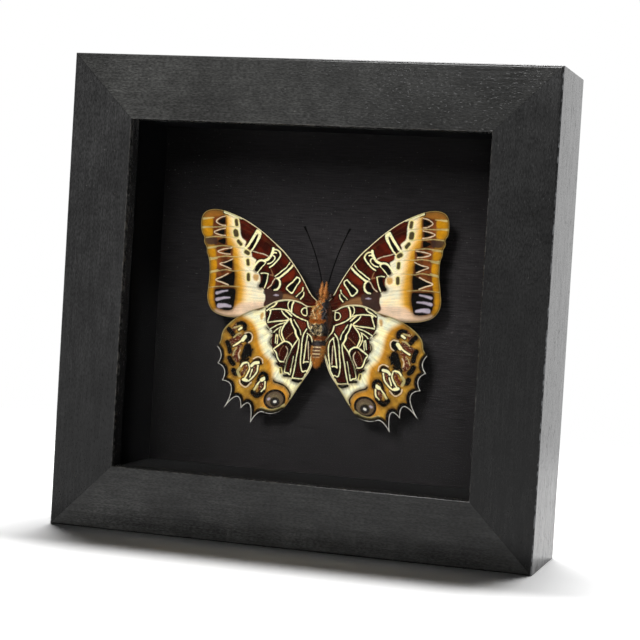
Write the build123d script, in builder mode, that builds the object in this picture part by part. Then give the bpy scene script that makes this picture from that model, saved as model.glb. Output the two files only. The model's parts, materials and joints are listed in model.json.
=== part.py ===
"""Butterfly display case: a mitred wooden shadow box with one mounted butterfly behind glass.

Millimetres. +X is to the viewer's right, +Y goes from the glass towards the back, +Z is up.
The origin is the middle of the underside that the case stands on.
Depths are counted from the front face of the frame towards the back.
"""

import os
from math import cos, pi, radians, sin

from build123d import *

# --- the frame -------------------------------------------------------------------------
case_width = 152.4
case_height = 147.0
case_depth = 38.1
face_width = 19.8          # front face of the moulding, outer edge to sight edge
lip_depth = 6.4            # wood in front of the glass
rebate_width = 6.4         # step that hides the edges of the glass and the boards
front_edge_radius = 0.7
sight_edge_radius = 0.35
back_edge_radius = 1.6

# --- what is stacked in the rebate, front to back --------------------------------------
glass_thickness = 2.0
glass_edge_bevel = 0.3
spacer_setback = 0.3       # spacer face behind the sight edge
card_thickness = 0.8
mount_board_thickness = 3.2
back_board_thickness = 3.0
back_board_bevel = 0.6
back_board_sink = 0.1      # back board's rear face below the wood around it
panel_clearance = 0.3      # each edge of a pane or board in the rebate
spacer_clearance = 0.1

# --- corner fasteners ------------------------------------------------------------------
corner_nail_leg = 5.0
corner_nail_thickness = 0.6
corner_nail_depth = 7.0
corner_nail_inset = 4.7    # outer corner of the case to the nail's corner, along X and Z
corner_nail_clearance = 0.05

# --- turn buttons on the back ----------------------------------------------------------
button_thickness = 1.2
button_head_radius = 4.5
button_tip_radius = 3.2
button_length = 13.0       # pivot to the centre of the rounded tip
button_spacing = 70.0      # between the two buttons of one stile
button_gap = 0.2           # wood to button
screw_radius = 1.5
screw_head_radius = 2.9
screw_head_height = 1.6
screw_head_side = 0.7      # straight side of the head under its sloping shoulder
screw_head_top = 1.8       # radius of the head's flat top
screw_length = 10.0        # underside of the head to the point, and depth of its pilot hole
screw_point = 2.0
pivot_clearance = 0.1      # screw to button, all round and under the head
pilot_clearance = 0.05

# --- sawtooth hanger and bumpers -------------------------------------------------------
hanger_length = 44.0
hanger_height = 9.0
hanger_thickness = 0.8
hanger_rise = 1.8          # wood to the toothed bridge
hanger_foot = 8.0
hanger_corner = 2.0
tooth_pitch = 2.0
tooth_depth = 1.1
tooth_count = 11
tooth_overrun = 0.1        # cutter reaches this far past the strip's lower edge
hanger_nail_radius = 0.7
hanger_nail_head_radius = 1.7
hanger_nail_head_height = 0.7
hanger_nail_length = 9.0
hanger_nail_point = 1.6
bumper_radius = 5.0
bumper_height = 3.2
bumper_side = 0.8
bumper_top = 3.2           # radius of the flat that touches the wall
bumper_inset = 24.0        # side of the case to the bumper's centre

# --- the specimen ----------------------------------------------------------------------
specimen_right = 1.3       # wing line to the middle of the case
specimen_up = 2.3          # wing line's origin to mid-height of the case
specimen_tilt = 2.2        # degrees, anticlockwise as seen from the front
wing_standoff = 8.5        # front face of the card to the forewings
wing_thickness = 0.3
wing_layer_gap = 0.2       # forewing to the hindwing that lies in front of it
body_lean = 5.9            # degrees, clockwise against the wings
body_clearance = 0.1
fine_clearance = 0.05
thorax_centre = (0.5, -6.6, 0.8)
thorax_length = 12.4
thorax_collar = 1.1        # radius of its flat front end
thorax_waist = 1.5         # radius of its flat rear end
thorax_swell = 1.8         # how far its middle bulges past a straight taper
thorax_bands = 6
abdomen_length = 9.6
abdomen_waist = 1.4
abdomen_end = 0.8
abdomen_swell = 1.0
abdomen_rings = 6
abdomen_overlap = 0.9      # abdomen reaches round the end of the thorax
abdomen_tip = 0.7
ring_step = 0.16           # each ring's rear edge stands this far outside the next ring
head_radius = 1.1
head_forward = 0.4         # head in front of the middle of the thorax
eye_radius = 0.85
palp_length = 5.6
palp_radius = 0.62
palp_swell = 0.3           # share of its length at which a palp is thickest
palp_drop = 1.0            # root of the palps below the middle of the head
antenna_radius = 0.2
antenna_root_gap = 0.1     # head to the root of an antenna
club_radius = 0.38
club_length = 2.2
leg_radius = 0.3
leg_bend = 0.6             # radius of the knee
post_radius = 1.6
post_foot_radius = 3.2
post_foot_height = 0.8

# --- levels and sizes that follow ------------------------------------------------------
front = -case_depth / 2
back = case_depth / 2
wall_width = face_width - rebate_width
wall_middle = wall_width / 2
rebate_inner_width = case_width - 2 * wall_width
rebate_inner_height = case_height - 2 * wall_width
glass_front = front + lip_depth
chamber_front = glass_front + glass_thickness
back_board_front = back - back_board_sink - back_board_thickness
mount_board_front = back_board_front - mount_board_thickness
card_front = mount_board_front - card_thickness
chamber_depth = card_front - chamber_front
spacer_thickness = rebate_width - spacer_clearance - spacer_setback
mid_height = case_height / 2
button_back = back + button_gap + button_thickness
pivot_x = case_width / 2 - wall_middle
hanger_z = case_height - wall_middle
hanger_bore_offset = hanger_length / 2 - hanger_foot / 2
bumper_x = case_width / 2 - bumper_inset

finished = []


def keep(builder, name):
    """Label one finished piece and put it on the list to export."""
    builder.part.label = name
    finished.append(builder.part)


def face_plane(y):
    """Plane parallel to the glass at depth y, drawn as seen from the front."""
    return Plane(origin=(0, y, mid_height), x_dir=(1, 0, 0), z_dir=(0, -1, 0))


def back_plane(y):
    """Plane parallel to the back at depth y: sketch x runs along -X, sketch y is up."""
    return Plane(origin=(0, y, mid_height), x_dir=(-1, 0, 0), z_dir=(0, 1, 0))


# --- mitred mouldings ------------------------------------------------------------------
# Each stick is drawn across its own length: sketch x goes in from the outer face and
# sketch y goes from mid-depth to the back.
SIDES = {
    "rail_bottom": ((0, 0, 0), (0, 0, 1), (-1, 0, 0), case_width),
    "rail_top": ((0, 0, case_height), (0, 0, -1), (1, 0, 0), case_width),
    "stile_left": ((-case_width / 2, 0, mid_height), (1, 0, 0), (0, 0, 1), case_height),
    "stile_right": ((case_width / 2, 0, mid_height), (-1, 0, 0), (0, 0, -1), case_height),
}

corners = [(sx * case_width / 2, sz * case_height / 2) for sx in (-1, 1) for sz in (-1, 1)]


def nail_outline(corner, clearance=0.0):
    """L-shaped section of one corner nail, its legs running along both mouldings."""
    sx, sz = (1 if value < 0 else -1 for value in corner)
    near = corner_nail_inset - clearance
    far = corner_nail_inset + corner_nail_leg + clearance
    web = corner_nail_inset + corner_nail_thickness + clearance
    steps = [(near, near), (far, near), (far, web), (web, web), (web, far), (near, far)]
    return [(-(corner[0] + sx * x), corner[1] + sz * z) for x, z in steps]


def turn_button_places():
    """Pivot of each turn button on the back: name, X, Z and the side its tongue points to."""
    for side, sign in (("left", -1), ("right", 1)):
        for level, lift in (("upper", 1), ("lower", -1)):
            name = f"turn_button_{side}_{level}"
            yield name, sign * pivot_x, mid_height + lift * button_spacing / 2, -sign


button_places = list(turn_button_places())
pivot_points = [(-x, z - mid_height) for _, x, z, _ in button_places]
hanger_bores = [(sign * hanger_bore_offset, hanger_z - mid_height) for sign in (-1, 1)]


def turned_plane(x, y, z):
    """Plane of a turned piece's half section: sketch x is its radius, sketch y points to the wall."""
    return Plane(origin=(x, y, z), x_dir=(1, 0, 0), z_dir=(0, 0, 1))


for side_name, (origin, inward, along, length) in SIDES.items():
    section = Plane(origin=origin, x_dir=inward, z_dir=along)
    with BuildPart() as moulding:
        with BuildSketch(section) as profile:
            with BuildLine():
                Polyline(
                    (0, front),
                    (face_width, front),
                    (face_width, glass_front),
                    (wall_width, glass_front),
                    (wall_width, back),
                    (0, back),
                    close=True,
                )
            make_face()
            for corner_x, corner_y, radius in (
                (0, front, front_edge_radius),
                (face_width, front, sight_edge_radius),
                (0, back, back_edge_radius),
            ):
                edge = Vector(corner_x, corner_y)
                fillet(profile.vertices().sort_by_distance(edge)[0], radius)
        extrude(amount=length / 2, both=True)
        for end in (-1, 1):
            tip = section.from_local_coords((0, 0, end * length / 2))
            slope = section.from_local_coords((1, 0, end)) - section.origin
            split(bisect_by=Plane(origin=tip, z_dir=slope), keep=Keep.BOTTOM)
        with BuildSketch(back_plane(back)):
            for corner in corners:
                with BuildLine():
                    Polyline(*nail_outline(corner, corner_nail_clearance), close=True)
                make_face()
        extrude(amount=-corner_nail_depth - corner_nail_clearance, mode=Mode.SUBTRACT)
        with BuildSketch(back_plane(back)):
            with Locations(*pivot_points):
                Circle(screw_radius + pilot_clearance)
        extrude(amount=-screw_length, mode=Mode.SUBTRACT)
        with BuildSketch(back_plane(back)):
            with Locations(*hanger_bores):
                Circle(hanger_nail_radius + pilot_clearance)
        extrude(amount=-hanger_nail_length, mode=Mode.SUBTRACT)
    keep(moulding, side_name)

with BuildPart() as corner_nails:
    with BuildSketch(back_plane(back)):
        for corner in corners:
            with BuildLine():
                Polyline(*nail_outline(corner), close=True)
            make_face()
    extrude(amount=-corner_nail_depth)
keep(corner_nails, "corner_nails")


# --- glass, spacers and boards ---------------------------------------------------------
def panel(name, depth, thickness, bevel=0.0):
    """One flat sheet that fills the rebate, with the edges of both faces eased."""
    with BuildPart() as sheet:
        with BuildSketch(face_plane(depth)):
            Rectangle(
                rebate_inner_width - 2 * panel_clearance,
                rebate_inner_height - 2 * panel_clearance,
            )
        extrude(amount=-thickness)
        if bevel:
            faces = sheet.faces().sort_by(Axis.Y)
            chamfer(faces[0].edges() + faces[-1].edges(), bevel)
    keep(sheet, name)


panel("glass_pane", glass_front, glass_thickness, glass_edge_bevel)
panel("backing_card", card_front, card_thickness)
panel("mount_board", mount_board_front, mount_board_thickness)
panel("back_board", back_board_front, back_board_thickness, back_board_bevel)

spacer_long = rebate_inner_width - 2 * spacer_clearance
spacer_short = rebate_inner_height - 2 * spacer_clearance - 2 * spacer_thickness
spacer_off_x = rebate_inner_width / 2 - spacer_clearance - spacer_thickness / 2
spacer_off_z = rebate_inner_height / 2 - spacer_clearance - spacer_thickness / 2
SPACERS = {
    "spacer_top": (0, spacer_off_z, spacer_long, spacer_thickness),
    "spacer_bottom": (0, -spacer_off_z, spacer_long, spacer_thickness),
    "spacer_left": (-spacer_off_x, 0, spacer_thickness, spacer_short),
    "spacer_right": (spacer_off_x, 0, spacer_thickness, spacer_short),
}

for spacer_name, (x, z, wide, high) in SPACERS.items():
    with BuildPart() as spacer:
        with BuildSketch(face_plane(chamber_front)):
            with Locations((x, z)):
                Rectangle(wide, high)
        extrude(amount=-chamber_depth)
    keep(spacer, spacer_name)


# --- turn buttons and their screws -----------------------------------------------------
for button_name, x, z, towards in button_places:
    with BuildPart() as button:
        with BuildSketch(back_plane(back + button_gap)):
            with Locations((-x, z - mid_height)):
                Circle(button_head_radius)
            with Locations((-x - towards * button_length, z - mid_height)):
                Circle(button_tip_radius)
            make_hull()
            with Locations((-x, z - mid_height)):
                Circle(screw_radius + pivot_clearance, mode=Mode.SUBTRACT)
        extrude(amount=button_thickness)
    keep(button, button_name)

screw_seat = button_back + pivot_clearance
with BuildPart() as turn_button_screws:
    for _, x, z, _ in button_places:
        with BuildSketch(turned_plane(x, screw_seat, z)):
            with BuildLine():
                Polyline(
                    (0, screw_head_height),
                    (0, -screw_length),
                    (screw_radius, -screw_length + screw_point),
                    (screw_radius, 0),
                    (screw_head_radius, 0),
                    (screw_head_radius, screw_head_side),
                    (screw_head_top, screw_head_height),
                    close=True,
                )
            make_face()
        revolve(axis=Axis((x, 0, z), (0, 1, 0)))
keep(turn_button_screws, "turn_button_screws")


# --- sawtooth hanger -------------------------------------------------------------------
def both_halves(points):
    """The points, then their mirror images in reverse order."""
    return [*points, *((-x, y) for x, y in reversed(points))]


bridge_half = hanger_length / 2 - hanger_foot
wall_side = [
    (hanger_length / 2, back),
    (bridge_half, back),
    (bridge_half - hanger_rise, back + hanger_rise),
]
room_side = [
    (hanger_length / 2, back + hanger_thickness),
    (bridge_half + hanger_thickness / 2, back + hanger_thickness),
    (bridge_half - hanger_rise + hanger_thickness / 2, back + hanger_rise + hanger_thickness),
]
with BuildPart() as hanger:
    with BuildSketch(Plane.XY.offset(hanger_z - hanger_height / 2)):
        with BuildLine():
            Polyline(*both_halves(wall_side), *reversed(both_halves(room_side)), close=True)
        make_face()
    extrude(amount=hanger_height)
    with BuildSketch(back_plane(back)):
        lower_edge = hanger_z - mid_height - hanger_height / 2
        with Locations((0, lower_edge)):
            with GridLocations(tooth_pitch, 0, tooth_count, 1):
                Polygon(
                    (-tooth_pitch / 2, -tooth_overrun),
                    (tooth_pitch / 2, -tooth_overrun),
                    (0, tooth_depth),
                    align=None,
                )
    extrude(amount=hanger_rise + hanger_thickness, mode=Mode.SUBTRACT)
    with BuildSketch(back_plane(back)):
        with Locations(*hanger_bores):
            Circle(hanger_nail_radius + pivot_clearance)
    extrude(amount=hanger_thickness, mode=Mode.SUBTRACT)
    upright_corners = hanger.edges().filter_by(Axis.Y).group_by(Axis.X)
    fillet(upright_corners[0] + upright_corners[-1], hanger_corner)
keep(hanger, "hanger")

nail_seat = back + hanger_thickness + pilot_clearance
with BuildPart() as hanger_nails:
    for x in (-hanger_bore_offset, hanger_bore_offset):
        with BuildSketch(turned_plane(x, nail_seat, hanger_z)):
            with BuildLine():
                Polyline(
                    (0, hanger_nail_head_height),
                    (0, -hanger_nail_length),
                    (hanger_nail_radius, -hanger_nail_length + hanger_nail_point),
                    (hanger_nail_radius, 0),
                    (hanger_nail_head_radius, 0),
                    (hanger_nail_head_radius, hanger_nail_head_height),
                    close=True,
                )
            make_face()
        revolve(axis=Axis((x, 0, hanger_z), (0, 1, 0)))
keep(hanger_nails, "hanger_nails")

with BuildPart() as wall_bumpers:
    for x in (-bumper_x, bumper_x):
        with BuildSketch(turned_plane(x, back, wall_middle)):
            with BuildLine():
                Polyline(
                    (0, 0),
                    (bumper_radius, 0),
                    (bumper_radius, bumper_side),
                    (bumper_top, bumper_height),
                    (0, bumper_height),
                    close=True,
                )
            make_face()
        revolve(axis=Axis((x, 0, wall_middle), (0, 1, 0)))
keep(wall_bumpers, "wall_bumpers")


# --- butterfly -------------------------------------------------------------------------
# Wings are drawn in the wing frame: u to the right, v up, seen from the front.
def leaning_plane(origin, degrees_anticlockwise):
    """Plane facing the viewer whose x runs right and turns anticlockwise by the angle."""
    turn = radians(degrees_anticlockwise)
    return Plane(origin=origin, x_dir=(cos(turn), 0, sin(turn)), z_dir=(0, -1, 0))


def mirrored(points, sign):
    """The same points on the right side (sign 1) or on the left one (sign -1)."""
    return [(sign * u, v) for u, v in points]


wing_plane = leaning_plane(
    (specimen_right, card_front - wing_standoff, mid_height + specimen_up), specimen_tilt
)
body_plane = leaning_plane(wing_plane.from_local_coords(thorax_centre), specimen_tilt - body_lean)
body_axis = Axis(body_plane.origin, body_plane.y_dir)
thorax_top = thorax_length / 2
abdomen_top = -thorax_length / 2


def girth(share, first, last, swell):
    """Radius of a rounded body at a share of its length between its two end radii."""
    return first + (last - first) * share + swell * sin(pi * share)


def thorax_section(grow):
    """Half section of the thorax, to the right of the body's axis, grown by a clearance."""
    length = thorax_length + 2 * grow
    outline = [(0, length / 2)]
    for band in range(thorax_bands + 1):
        share = band / thorax_bands
        radius = girth(share, thorax_collar, thorax_waist, thorax_swell) + grow
        outline.append((radius, length / 2 - share * length))
    with BuildSketch() as half:
        with BuildLine():
            Polyline(*outline, (0, -length / 2), close=True)
        make_face()
    return half.sketch


def abdomen_section(grow):
    """Half section of the abdomen, whose rings overlap like tiles, grown by a clearance."""
    start = abdomen_top + abdomen_overlap
    outline = [(0, start), (abdomen_waist + grow, start)]
    for ring in range(1, abdomen_rings + 1):
        share = ring / abdomen_rings
        radius = girth(share, abdomen_waist, abdomen_end, abdomen_swell) + grow
        level = start - share * abdomen_length
        outline += [(radius + ring_step, level), (radius, level)]
    end = start - abdomen_length - abdomen_tip - grow
    with BuildSketch() as half:
        with BuildLine():
            Polyline(*outline, (0, end), close=True)
        make_face()
    return half.sketch


with BuildPart() as thorax:
    with BuildSketch(body_plane):
        add(thorax_section(0))
    revolve(axis=body_axis)
keep(thorax, "thorax")

# The body's outline with its clearance, which wings, head, legs and post are cut back to.
with BuildPart() as body_envelope:
    with BuildSketch(body_plane):
        add(thorax_section(body_clearance))
    revolve(axis=body_axis)
    with BuildSketch(body_plane):
        add(abdomen_section(body_clearance))
    revolve(axis=body_axis)

with BuildPart() as abdomen:
    with BuildSketch(body_plane):
        add(abdomen_section(0))
    revolve(axis=body_axis)
    with BuildSketch(body_plane):
        add(thorax_section(body_clearance))
    revolve(axis=body_axis, mode=Mode.SUBTRACT)
keep(abdomen, "abdomen")

head_height = thorax_top + body_clearance + head_radius
with BuildPart() as head:
    with Locations(body_plane.from_local_coords((0, head_height, head_forward))):
        Sphere(head_radius)
keep(head, "head")

eye_offset = head_radius + eye_radius + fine_clearance
with BuildPart() as eyes:
    for sign in (-1, 1):
        with Locations(body_plane.from_local_coords((sign * eye_offset, head_height, head_forward))):
            Sphere(eye_radius)
keep(eyes, "eyes")

palp_plane = body_plane.offset(head_forward + head_radius + palp_radius + fine_clearance)
palp_root = head_height - palp_drop
with BuildPart() as palps:
    for u in (-palp_radius - fine_clearance, palp_radius + fine_clearance):
        with BuildSketch(palp_plane):
            with BuildLine():
                Polyline(
                    (u, palp_root),
                    (u + palp_radius, palp_root + palp_length * palp_swell),
                    (u, palp_root + palp_length),
                    close=True,
                )
            make_face()
        revolve(axis=Axis(palp_plane.from_local_coords((u, 0, 0)), palp_plane.y_dir))
keep(palps, "palps")

# Root, middle and end of each antenna, to the right of and above the top of the head.
ANTENNAE = {
    "antenna_left": ((-0.7, antenna_root_gap), (-4.5, 10.6), (-8.1, 17.3)),
    "antenna_right": ((0.4, antenna_root_gap), (2.4, 11.0), (4.7, 18.2)),
}
head_top = body_plane.from_local_coords((0, head_height + head_radius, 0))
antenna_plane = Plane(origin=head_top, x_dir=body_plane.x_dir, z_dir=body_plane.z_dir)
for antenna_name, (root, middle, tip) in ANTENNAE.items():
    with BuildPart() as antenna:
        with BuildLine(antenna_plane) as shaft:
            ThreePointArc(root, middle, tip)
        with BuildSketch(Plane(origin=shaft.line @ 0, z_dir=shaft.line % 0)):
            RegularPolygon(antenna_radius, 6)
        sweep()
        with Locations(Plane(origin=shaft.line @ 1, z_dir=shaft.line % 1)):
            Cone(
                antenna_radius,
                club_radius,
                club_length,
                align=(Align.CENTER, Align.CENTER, Align.MIN),
            )
    keep(antenna, antenna_name)

# Hip, knee and foot of the front and the middle leg, from the middle of the thorax.
LEGS = (
    ((0.5, 4.6), (2.3, 2.6), (0.9, -0.2)),
    ((0.6, -1.2), (2.1, -3.0), (0.9, -5.4)),
)
thorax_radius = girth(1 / 2, thorax_collar, thorax_waist, thorax_swell)
leg_plane = body_plane.offset(thorax_radius + leg_radius + body_clearance)
with BuildPart() as legs:
    for sign in (-1, 1):
        for hip, knee, foot in LEGS:
            with BuildLine(leg_plane) as limb:
                FilletPolyline(*mirrored((hip, knee, foot), sign), radius=leg_bend)
            with BuildSketch(Plane(origin=limb.line @ 0, z_dir=limb.line % 0)):
                RegularPolygon(leg_radius, 6)
            sweep(path=limb.line)
keep(legs, "legs")

post_foot = (body_plane.origin.X, card_front, body_plane.origin.Z)
post_plane = Plane(origin=post_foot, x_dir=(1, 0, 0), z_dir=(0, -1, 0))
with BuildPart() as specimen_post:
    with BuildSketch(post_plane):
        Circle(post_foot_radius)
    extrude(amount=post_foot_height)
    with BuildSketch(post_plane):
        Circle(post_radius)
    extrude(amount=card_front - body_envelope.part.bounding_box().max.Y)
keep(specimen_post, "specimen_post")

FOREWING_FRONT = (
    (1.5, -2.0), (3.7, 0.9), (6.4, 5.7), (9.8, 10.4), (14.5, 15.6),
    (18.9, 19.2), (23.7, 22.6), (30.0, 25.7), (36.0, 27.4),
)
FOREWING_MARGIN = (
    (36.0, 27.4), (39.9, 26.1), (40.8, 23.5), (40.4, 19.5), (38.8, 14.0),
    (37.8, 7.5), (38.3, 0.5), (37.1, -3.2), (35.0, -5.3), (32.0, -6.2),
)
FOREWING_REAR = ((32.0, -6.2), (20.0, -6.5), (1.5, -5.0))
HINDWING_FRONT = (
    (1.5, -3.6), (7.0, -2.3), (12.0, -2.1), (19.0, -3.7), (26.1, -6.6),
    (32.0, -10.6), (33.4, -14.0), (34.4, -17.0),
)
# Tips of the scalloped margin and tails, and the deepest point of the notch after each.
HINDWING_TIPS = (
    (34.4, -17.0), (34.0, -22.1), (32.0, -27.0), (31.4, -36.3), (26.0, -36.4), (22.5, -40.5),
    (17.0, -37.6),
)
HINDWING_NOTCHES = (
    (33.0, -19.6), (31.8, -24.4), (29.4, -30.1), (27.5, -32.9), (23.0, -35.0), (20.4, -37.6),
)
HINDWING_INNER = (
    (17.0, -37.6), (11.0, -34.5), (6.2, -27.6), (3.0, -21.0), (1.8, -15.0), (1.5, -10.0),
)


for side, sign in (("left", -1), ("right", 1)):
    with BuildPart() as forewing:
        with BuildSketch(wing_plane):
            with BuildLine():
                Spline(*mirrored(FOREWING_FRONT, sign))
                Spline(*mirrored(FOREWING_MARGIN, sign))
                Polyline(*mirrored(FOREWING_REAR, sign), *mirrored(FOREWING_FRONT[:1], sign))
            make_face()
        extrude(amount=-wing_thickness)
        add(body_envelope.part, mode=Mode.SUBTRACT)
    keep(forewing, f"forewing_{side}")

    with BuildPart() as hindwing:
        with BuildSketch(wing_plane.offset(wing_layer_gap)):
            with BuildLine():
                Spline(*mirrored(HINDWING_FRONT, sign))
                tips = mirrored(HINDWING_TIPS, sign)
                notches = mirrored(HINDWING_NOTCHES, sign)
                for tip, notch, following in zip(tips, notches, tips[1:]):
                    pull = Vector(notch) * 2 - (Vector(tip) + Vector(following)) / 2
                    Bezier(tip, pull, following)
                Spline(*mirrored(HINDWING_INNER, sign))
                Line(mirrored(HINDWING_INNER[-1:], sign)[0], mirrored(HINDWING_FRONT[:1], sign)[0])
            make_face()
        extrude(amount=wing_thickness)
        add(body_envelope.part, mode=Mode.SUBTRACT)
    keep(hindwing, f"hindwing_{side}")

os.makedirs("parts", exist_ok=True)
for piece in finished:
    export_step(piece, f"parts/{piece.label}.step")
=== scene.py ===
"""Looks of a butterfly display case: black wood, glass, card, hardware and one set butterfly.

Laid out as an add-on. Lengths are metres, unless a name or comment says mm.
The wings are drawn in mm in the wing frame: u from the body outwards, v up, seen from the front.
"""

import json
from math import cos, pi, radians, sin

import bmesh
import bpy
import numpy as np
from bpy.props import FloatProperty, FloatVectorProperty, IntProperty, PointerProperty
from mathutils import Matrix, Vector
from mathutils.geometry import delaunay_2d_cdt


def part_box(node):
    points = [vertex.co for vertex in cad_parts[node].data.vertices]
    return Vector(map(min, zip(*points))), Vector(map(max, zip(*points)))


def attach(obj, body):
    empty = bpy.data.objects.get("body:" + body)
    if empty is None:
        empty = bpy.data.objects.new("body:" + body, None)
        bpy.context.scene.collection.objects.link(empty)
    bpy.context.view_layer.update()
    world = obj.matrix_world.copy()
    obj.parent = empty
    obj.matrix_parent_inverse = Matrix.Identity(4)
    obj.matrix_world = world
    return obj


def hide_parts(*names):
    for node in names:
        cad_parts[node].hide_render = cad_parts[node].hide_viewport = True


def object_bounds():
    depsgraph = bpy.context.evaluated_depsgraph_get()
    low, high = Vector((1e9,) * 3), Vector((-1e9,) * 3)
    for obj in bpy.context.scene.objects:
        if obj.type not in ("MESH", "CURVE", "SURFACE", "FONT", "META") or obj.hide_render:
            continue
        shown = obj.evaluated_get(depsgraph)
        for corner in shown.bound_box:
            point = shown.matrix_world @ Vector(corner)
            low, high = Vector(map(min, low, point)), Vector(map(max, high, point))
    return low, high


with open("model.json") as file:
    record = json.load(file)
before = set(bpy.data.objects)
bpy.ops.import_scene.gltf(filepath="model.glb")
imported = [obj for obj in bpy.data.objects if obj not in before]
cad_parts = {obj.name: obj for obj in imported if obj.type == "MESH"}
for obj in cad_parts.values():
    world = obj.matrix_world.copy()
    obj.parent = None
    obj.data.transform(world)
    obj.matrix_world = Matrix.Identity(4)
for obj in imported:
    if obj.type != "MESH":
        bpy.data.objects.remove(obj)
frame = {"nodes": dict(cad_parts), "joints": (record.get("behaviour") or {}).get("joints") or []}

bl_info = {
    "name": "Butterfly display case",
    "version": (1, 0, 0),
    "blender": (4, 5, 0),
    "location": "3D View > Sidebar > Display Case",
    "description": "Finishes a wooden shadow box with one mounted butterfly",
    "category": "Add Mesh",
}

MM = 0.001
NOISE_SPAN = (0.3, 0.7)  # most of a noise's values lie between these
CASE = "case"
CAD_BOX = [list(corner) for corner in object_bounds()]
RAILS = ("rail_top", "rail_bottom")
STILES = ("stile_left", "stile_right")
SPACERS = ("spacer_top", "spacer_bottom", "spacer_left", "spacer_right")
BUTTONS = {
    f"turn_button_{side}_{level}": f"button_{side}_{level}"
    for side in ("left", "right")
    for level in ("upper", "lower")
}


def srgb(red, green, blue):
    """Linear colour for a colour picked as 0 to 255 display values."""
    return tuple(
        (c / 255 / 12.92 if c / 255 <= 0.04045 else ((c / 255 + 0.055) / 1.055) ** 2.4)
        for c in (red, green, blue)
    )


def tint(colour, factor):
    """A plain colour made lighter or darker."""
    return tuple(factor * part for part in colour)


# --- settings --------------------------------------------------------------------------
def colour_property(name, description, default):
    """A colour setting with its default in linear values."""
    return FloatVectorProperty(
        name=name, description=description, default=default, size=3, min=0, max=1, subtype="COLOR"
    )


class CaseSettings(bpy.types.PropertyGroup):
    """Finishes of the wooden case and what is packed in it."""

    wood_colour: colour_property("Wood", "Stain on the mouldings", srgb(33, 33, 33))
    # The rails' stain is painted lighter than the stiles': painted light, for the light that falls along
    # the rails' grain.
    rail_colour: colour_property("Rails", "Stain where the light meets the grain", srgb(45, 45, 44))
    grain_length: FloatProperty(
        name="Grain length", description="Length of one streak of grain",
        default=0.014, min=0.002, unit="LENGTH",
    )
    grain_width: FloatProperty(
        name="Grain width", description="Distance between streaks of grain",
        default=0.0008, min=0.0001, unit="LENGTH",
    )
    card_colour: colour_property("Card", "Card behind the specimen", srgb(32, 30, 31))
    lining_colour: colour_property("Lining", "Painted strips round the chamber", srgb(8, 8, 10))
    board_colour: colour_property("Back board", "Hardboard that closes the back", srgb(128, 92, 60))
    bevel: FloatProperty(
        name="Edge bevel", description="Rounding of stamped metal edges",
        default=0.00018, min=0.0, unit="LENGTH",
    )
    recess_depth: FloatProperty(
        name="Recess depth", description="Depth of the cross recess in a screw head",
        default=0.0008, min=0.0, unit="LENGTH",
    )


class ButterflySettings(bpy.types.PropertyGroup):
    """Sizes and colours of the set butterfly."""

    tilt: FloatProperty(
        name="Tilt", description="How far the wings lean, anticlockwise from the front",
        default=radians(2.2), subtype="ANGLE",
    )
    right: FloatProperty(
        name="Right", description="Wing line to the middle of the case",
        default=0.0013, unit="LENGTH",
    )
    up: FloatProperty(
        name="Up", description="Wing line to mid-height of the case",
        default=0.0023, unit="LENGTH",
    )
    membrane: FloatProperty(
        name="Membrane", description="Thickness of a wing", default=0.00012, min=0.00002,
        unit="LENGTH",
    )
    mesh_step: FloatProperty(
        name="Mesh step", description="Distance between points of a wing's mesh",
        default=0.00021, min=0.0001, unit="LENGTH",
    )
    vein_height: FloatProperty(
        name="Vein height", description="How far a vein stands off the membrane",
        default=0.00007, min=0.0, unit="LENGTH",
    )
    hair_length: FloatProperty(
        name="Hair length", description="Length of one hair of the body",
        default=0.0012, min=0.0001, unit="LENGTH",
    )
    hair_count: IntProperty(
        name="Hairs", description="Hairs for each square centimetre of the body",
        default=1100, min=10,
    )
    maroon: colour_property("Maroon", "Cells near the body", srgb(56, 14, 5))
    cream: colour_property("Cream", "Lines and the broad band", srgb(255, 250, 200))
    amber: colour_property("Amber", "Zone beside the broad band", srgb(198, 132, 32))
    ochre: colour_property("Ochre", "Outer zone", srgb(160, 114, 37))
    rust: colour_property("Rust", "Ground between the triangles", srgb(84, 40, 18))
    ink: colour_property("Ink", "Black bars and spots", srgb(9, 7, 5))


class StudioSettings(bpy.types.PropertyGroup):
    """Camera and lights."""

    camera_place: FloatVectorProperty(
        name="Camera", description="Place of the camera", default=(0.16196, -0.53083, 0.08745),
        size=3, subtype="TRANSLATION", unit="LENGTH",
    )
    camera_yaw: FloatProperty(
        name="Yaw", description="Turn of the camera to the left of straight ahead",
        default=radians(16.748), subtype="ANGLE",
    )
    camera_pitch: FloatProperty(
        name="Pitch", description="How far the camera looks down", default=radians(1.926),
        subtype="ANGLE",
    )
    camera_roll: FloatProperty(
        name="Roll", description="Turn of the camera about its own line of sight",
        default=radians(3.467), subtype="ANGLE",
    )
    focal_pixels: FloatProperty(
        name="Focal length", description="Focal length in pixels of a 640 pixel image",
        default=1793.9, min=1,
    )
    key_power: FloatProperty(
        name="Front lamp", description="Power of the soft lamp in front", default=9.5,
        subtype="POWER",
    )
    top_power: FloatProperty(
        name="Top lamp", description="Power of the soft lamp above", default=21.0,
        subtype="POWER",
    )


def case_settings():
    return bpy.context.scene.display_case


def butterfly_settings():
    return bpy.context.scene.display_butterfly


def studio_settings():
    return bpy.context.scene.display_studio


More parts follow.
